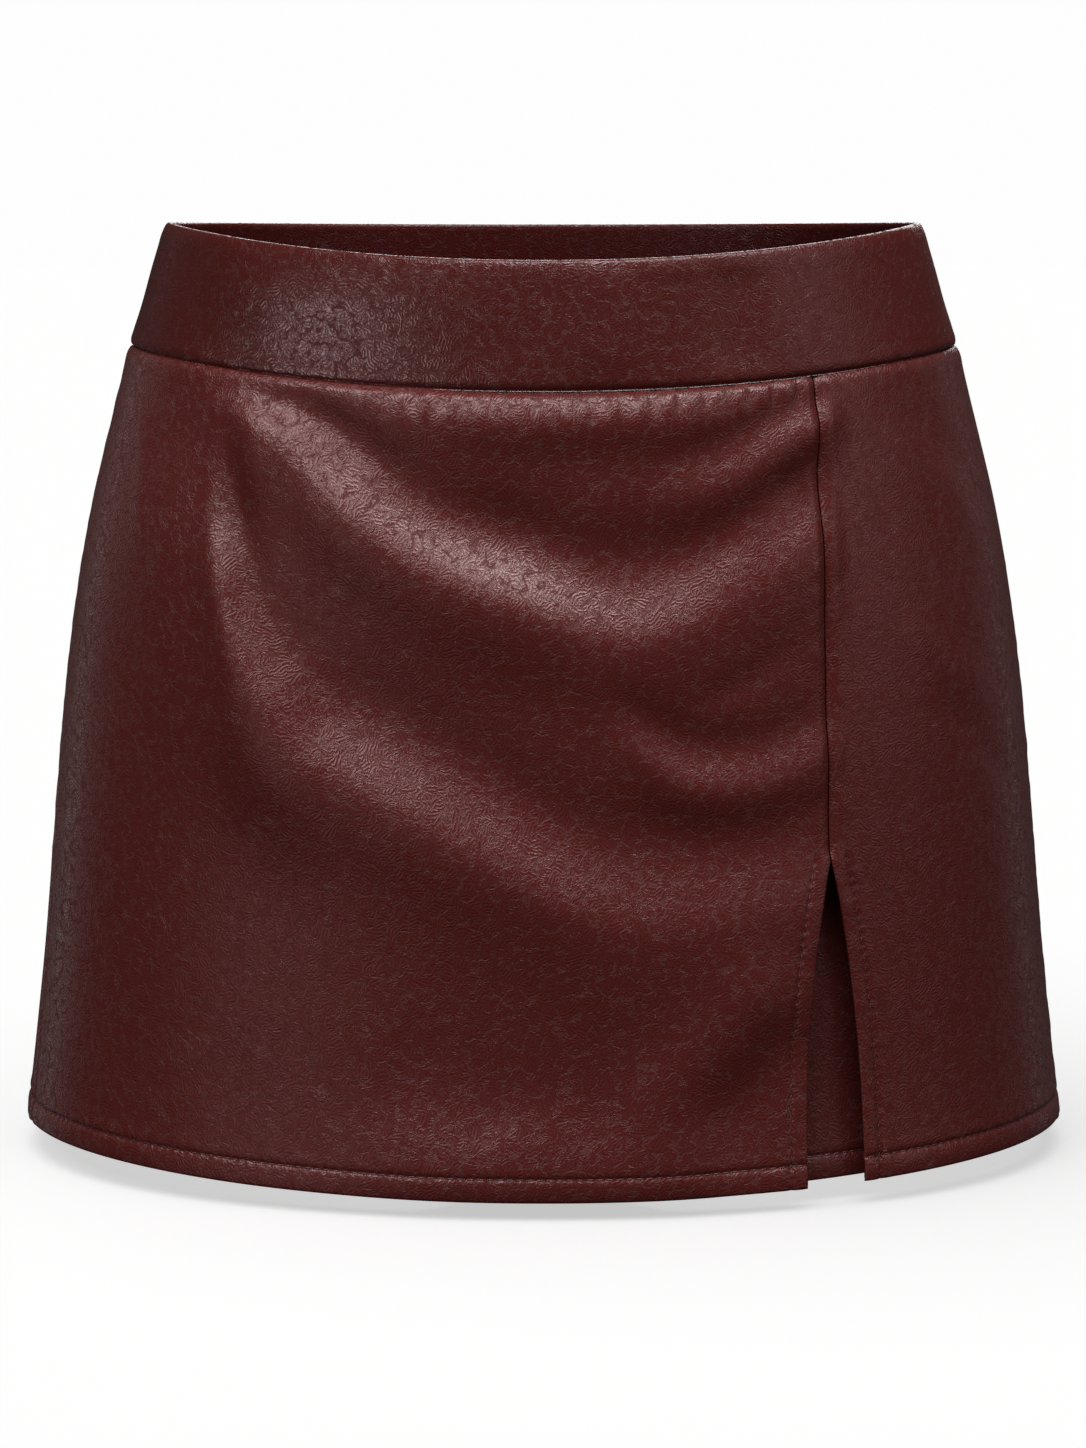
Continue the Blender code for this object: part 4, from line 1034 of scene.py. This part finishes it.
# Lacquered zinc: a deep colour under a clear hard gloss, a little wavy from the dip.
lacquer, tree, shader = start_material("lacquered_zinc_alloy", {
    "Base Color": linear("#44181b"), "Metallic": 0.35, "Roughness": 0.32, "Coat Weight": 0.6,
    "Coat Roughness": 0.12})
spot = node(tree, "ShaderNodeTexCoord").outputs["Object"]
peel = node(tree, "ShaderNodeTexNoise", {"Vector": spot, "Scale": PEEL, "Detail": 2.0})
lift = node(tree, "ShaderNodeBump", {"Height": peel, "Strength": 0.15, "Distance": 0.00005})
tree.links.new(lift.outputs[0], shader.inputs["Normal"])

for name, material in (("zip_chain", tape), ("zip_slider", lacquer), ("zip_pull", lacquer)):
    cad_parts[name].data.materials.clear()
    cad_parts[name].data.materials.append(material)


# ---------------------------------------------------------------- the studio
# White paper swept under the garment. Soft boxes hang in front at both sides and above, two tall
# strips and a box stand behind, and black cards keep some of them off the waistband, which has
# lamps of its own. The camera is level with the waist, and its lens is shifted down.

FLOOR_Z = -0.3098           # just below the hem
FLOOR_HALF = 30.0
paper, tree, shader = start_material("white_paper_sweep", {
    "Base Color": linear("#f2f2f2"), "Roughness": 0.9, "Specular IOR Level": 0.0,
    "Emission Color": (1.0, 1.0, 1.0, 1.0), "Emission Strength": 0.55})
floor_mesh = bpy.data.meshes.new("floor")
floor_mesh.from_pydata([(x * FLOOR_HALF, y * FLOOR_HALF, 0.0)
                        for x, y in ((-1, -1), (1, -1), (1, 1), (-1, 1))], [], [(0, 1, 2, 3)])
floor_mesh.materials.append(paper)
floor = add_object("floor", floor_mesh)
floor.location.z = FLOOR_Z
floor.visible_glossy = False
floor.visible_diffuse = False

world = bpy.data.worlds.new("studio")
bpy.context.scene.world = world
world.use_nodes = True
tree = world.node_tree
room = tree.nodes["Background"]
room.inputs["Color"].default_value = (1.0, 0.96, 0.94, 1.0)
room.inputs["Strength"].default_value = 0.04
white = node(tree, "ShaderNodeBackground", {"Color": (1.0, 1.0, 1.0, 1.0), "Strength": 0.985})
seen = node(tree, "ShaderNodeLightPath").outputs["Is Camera Ray"]
both = node(tree, "ShaderNodeMixShader", {0: seen, 1: room, 2: white})
tree.links.new(both.outputs[0], tree.nodes["World Output"].inputs["Surface"])

# black cards keep every lamp off the floor, and those for the skirt off the band
kept_dark = {"all": [floor], "skirt": [floor, *band_pieces.values()]}
lit_pieces = {}
for lights in ("all", "skirt", "band"):
    group = bpy.data.collections.new("light_on_" + lights)
    for piece in kept_dark.get(lights, band_pieces.values()):
        group.objects.link(piece)
    for entry in group.collection_objects:
        entry.light_linking.link_state = "EXCLUDE" if lights in kept_dark else "INCLUDE"
    lit_pieces[lights] = group

Lamp = namedtuple("Lamp", "name place size watts lights")
LAMPS = (
    Lamp("soft_box_left", (-0.95, -1.15, 1.40), (1.4, 0.9), 34.0, "skirt"),
    Lamp("soft_box_top", (0.20, -1.05, 2.15), (1.0, 0.8), 33.0, "all"),
    Lamp("soft_box_right", (0.90, -0.60, 1.90), (1.0, 0.8), 27.0, "all"),
    Lamp("side_right", (1.50, -0.80, 0.50), (0.8, 1.2), 3.0, "all"),
    Lamp("front_low", (0.0, -2.60, -0.40), (1.6, 0.8), 2.2, "skirt"),
    Lamp("left_low", (-1.30, -1.30, -0.20), (0.8, 0.8), 1.8, "skirt"),
    Lamp("strip_left", (-1.15, 0.85, 0.05), (0.35, 1.5), 0.9, "skirt"),
    Lamp("strip_right", (1.15, 0.85, 0.15), (0.35, 1.5), 0.55, "skirt"),
    Lamp("back_box", (0.30, 2.30, 1.00), (1.6, 1.2), 26.0, "all"),
    Lamp("band_left", (-1.30, -1.30, -0.20), (0.8, 0.8), 15.0, "band"),
    Lamp("band_top", (-0.20, -1.05, 2.15), (1.0, 0.8), 15.0, "band"),
    Lamp("band_strips", (-1.15, 0.85, 0.05), (0.35, 1.5), 0.25, "band"),
)
MATT_LAMPS = ("front_low",)     # bounced off a matt card, so that it gives no glare
AIM = Vector((0.0, 0.0, -0.12))
for lamp in LAMPS:
    light = bpy.data.lights.new(lamp.name, "AREA")
    light.shape = "RECTANGLE"
    light.size, light.size_y = lamp.size
    light.energy = lamp.watts
    held = add_object(lamp.name, light)
    held.light_linking.receiver_collection = lit_pieces[lamp.lights]
    held.visible_glossy = lamp.name not in MATT_LAMPS
    held.location = lamp.place
    held.rotation_euler = (AIM - held.location).to_track_quat("-Z", "Y").to_euler()

# a broad soft light on the paper alone gives the shadow under the hem
sun = add_object("floor_light", bpy.data.lights.new("floor_light", "SUN"))
sun.data.energy = 1.50
sun.data.angle = math.radians(80.0)
sun.rotation_euler = (math.radians(8.0), math.radians(-12.0), 0.0)
paper_only = bpy.data.collections.new("light_on_floor")
paper_only.objects.link(floor)
sun.light_linking.receiver_collection = paper_only

CAMERA_AWAY = 1.490
FRAME_HEIGHT = 1448         # of the picture, in pixels, which the shifts below are in too
SHIFT_ACROSS = -0.5
SHIFT_DOWN = 502.0
camera = add_object("camera", bpy.data.cameras.new("camera"))
camera.location = (0.0, -CAMERA_AWAY, SIDE_TOP_Z)
camera.rotation_euler = (math.radians(90.0), 0.0, 0.0)
camera.data.lens = 101.5
camera.data.sensor_width = 36.0
camera.data.shift_x = SHIFT_ACROSS / FRAME_HEIGHT
camera.data.shift_y = -SHIFT_DOWN / FRAME_HEIGHT
bpy.context.scene.camera = camera
bpy.context.scene.view_settings.view_transform = "Standard"
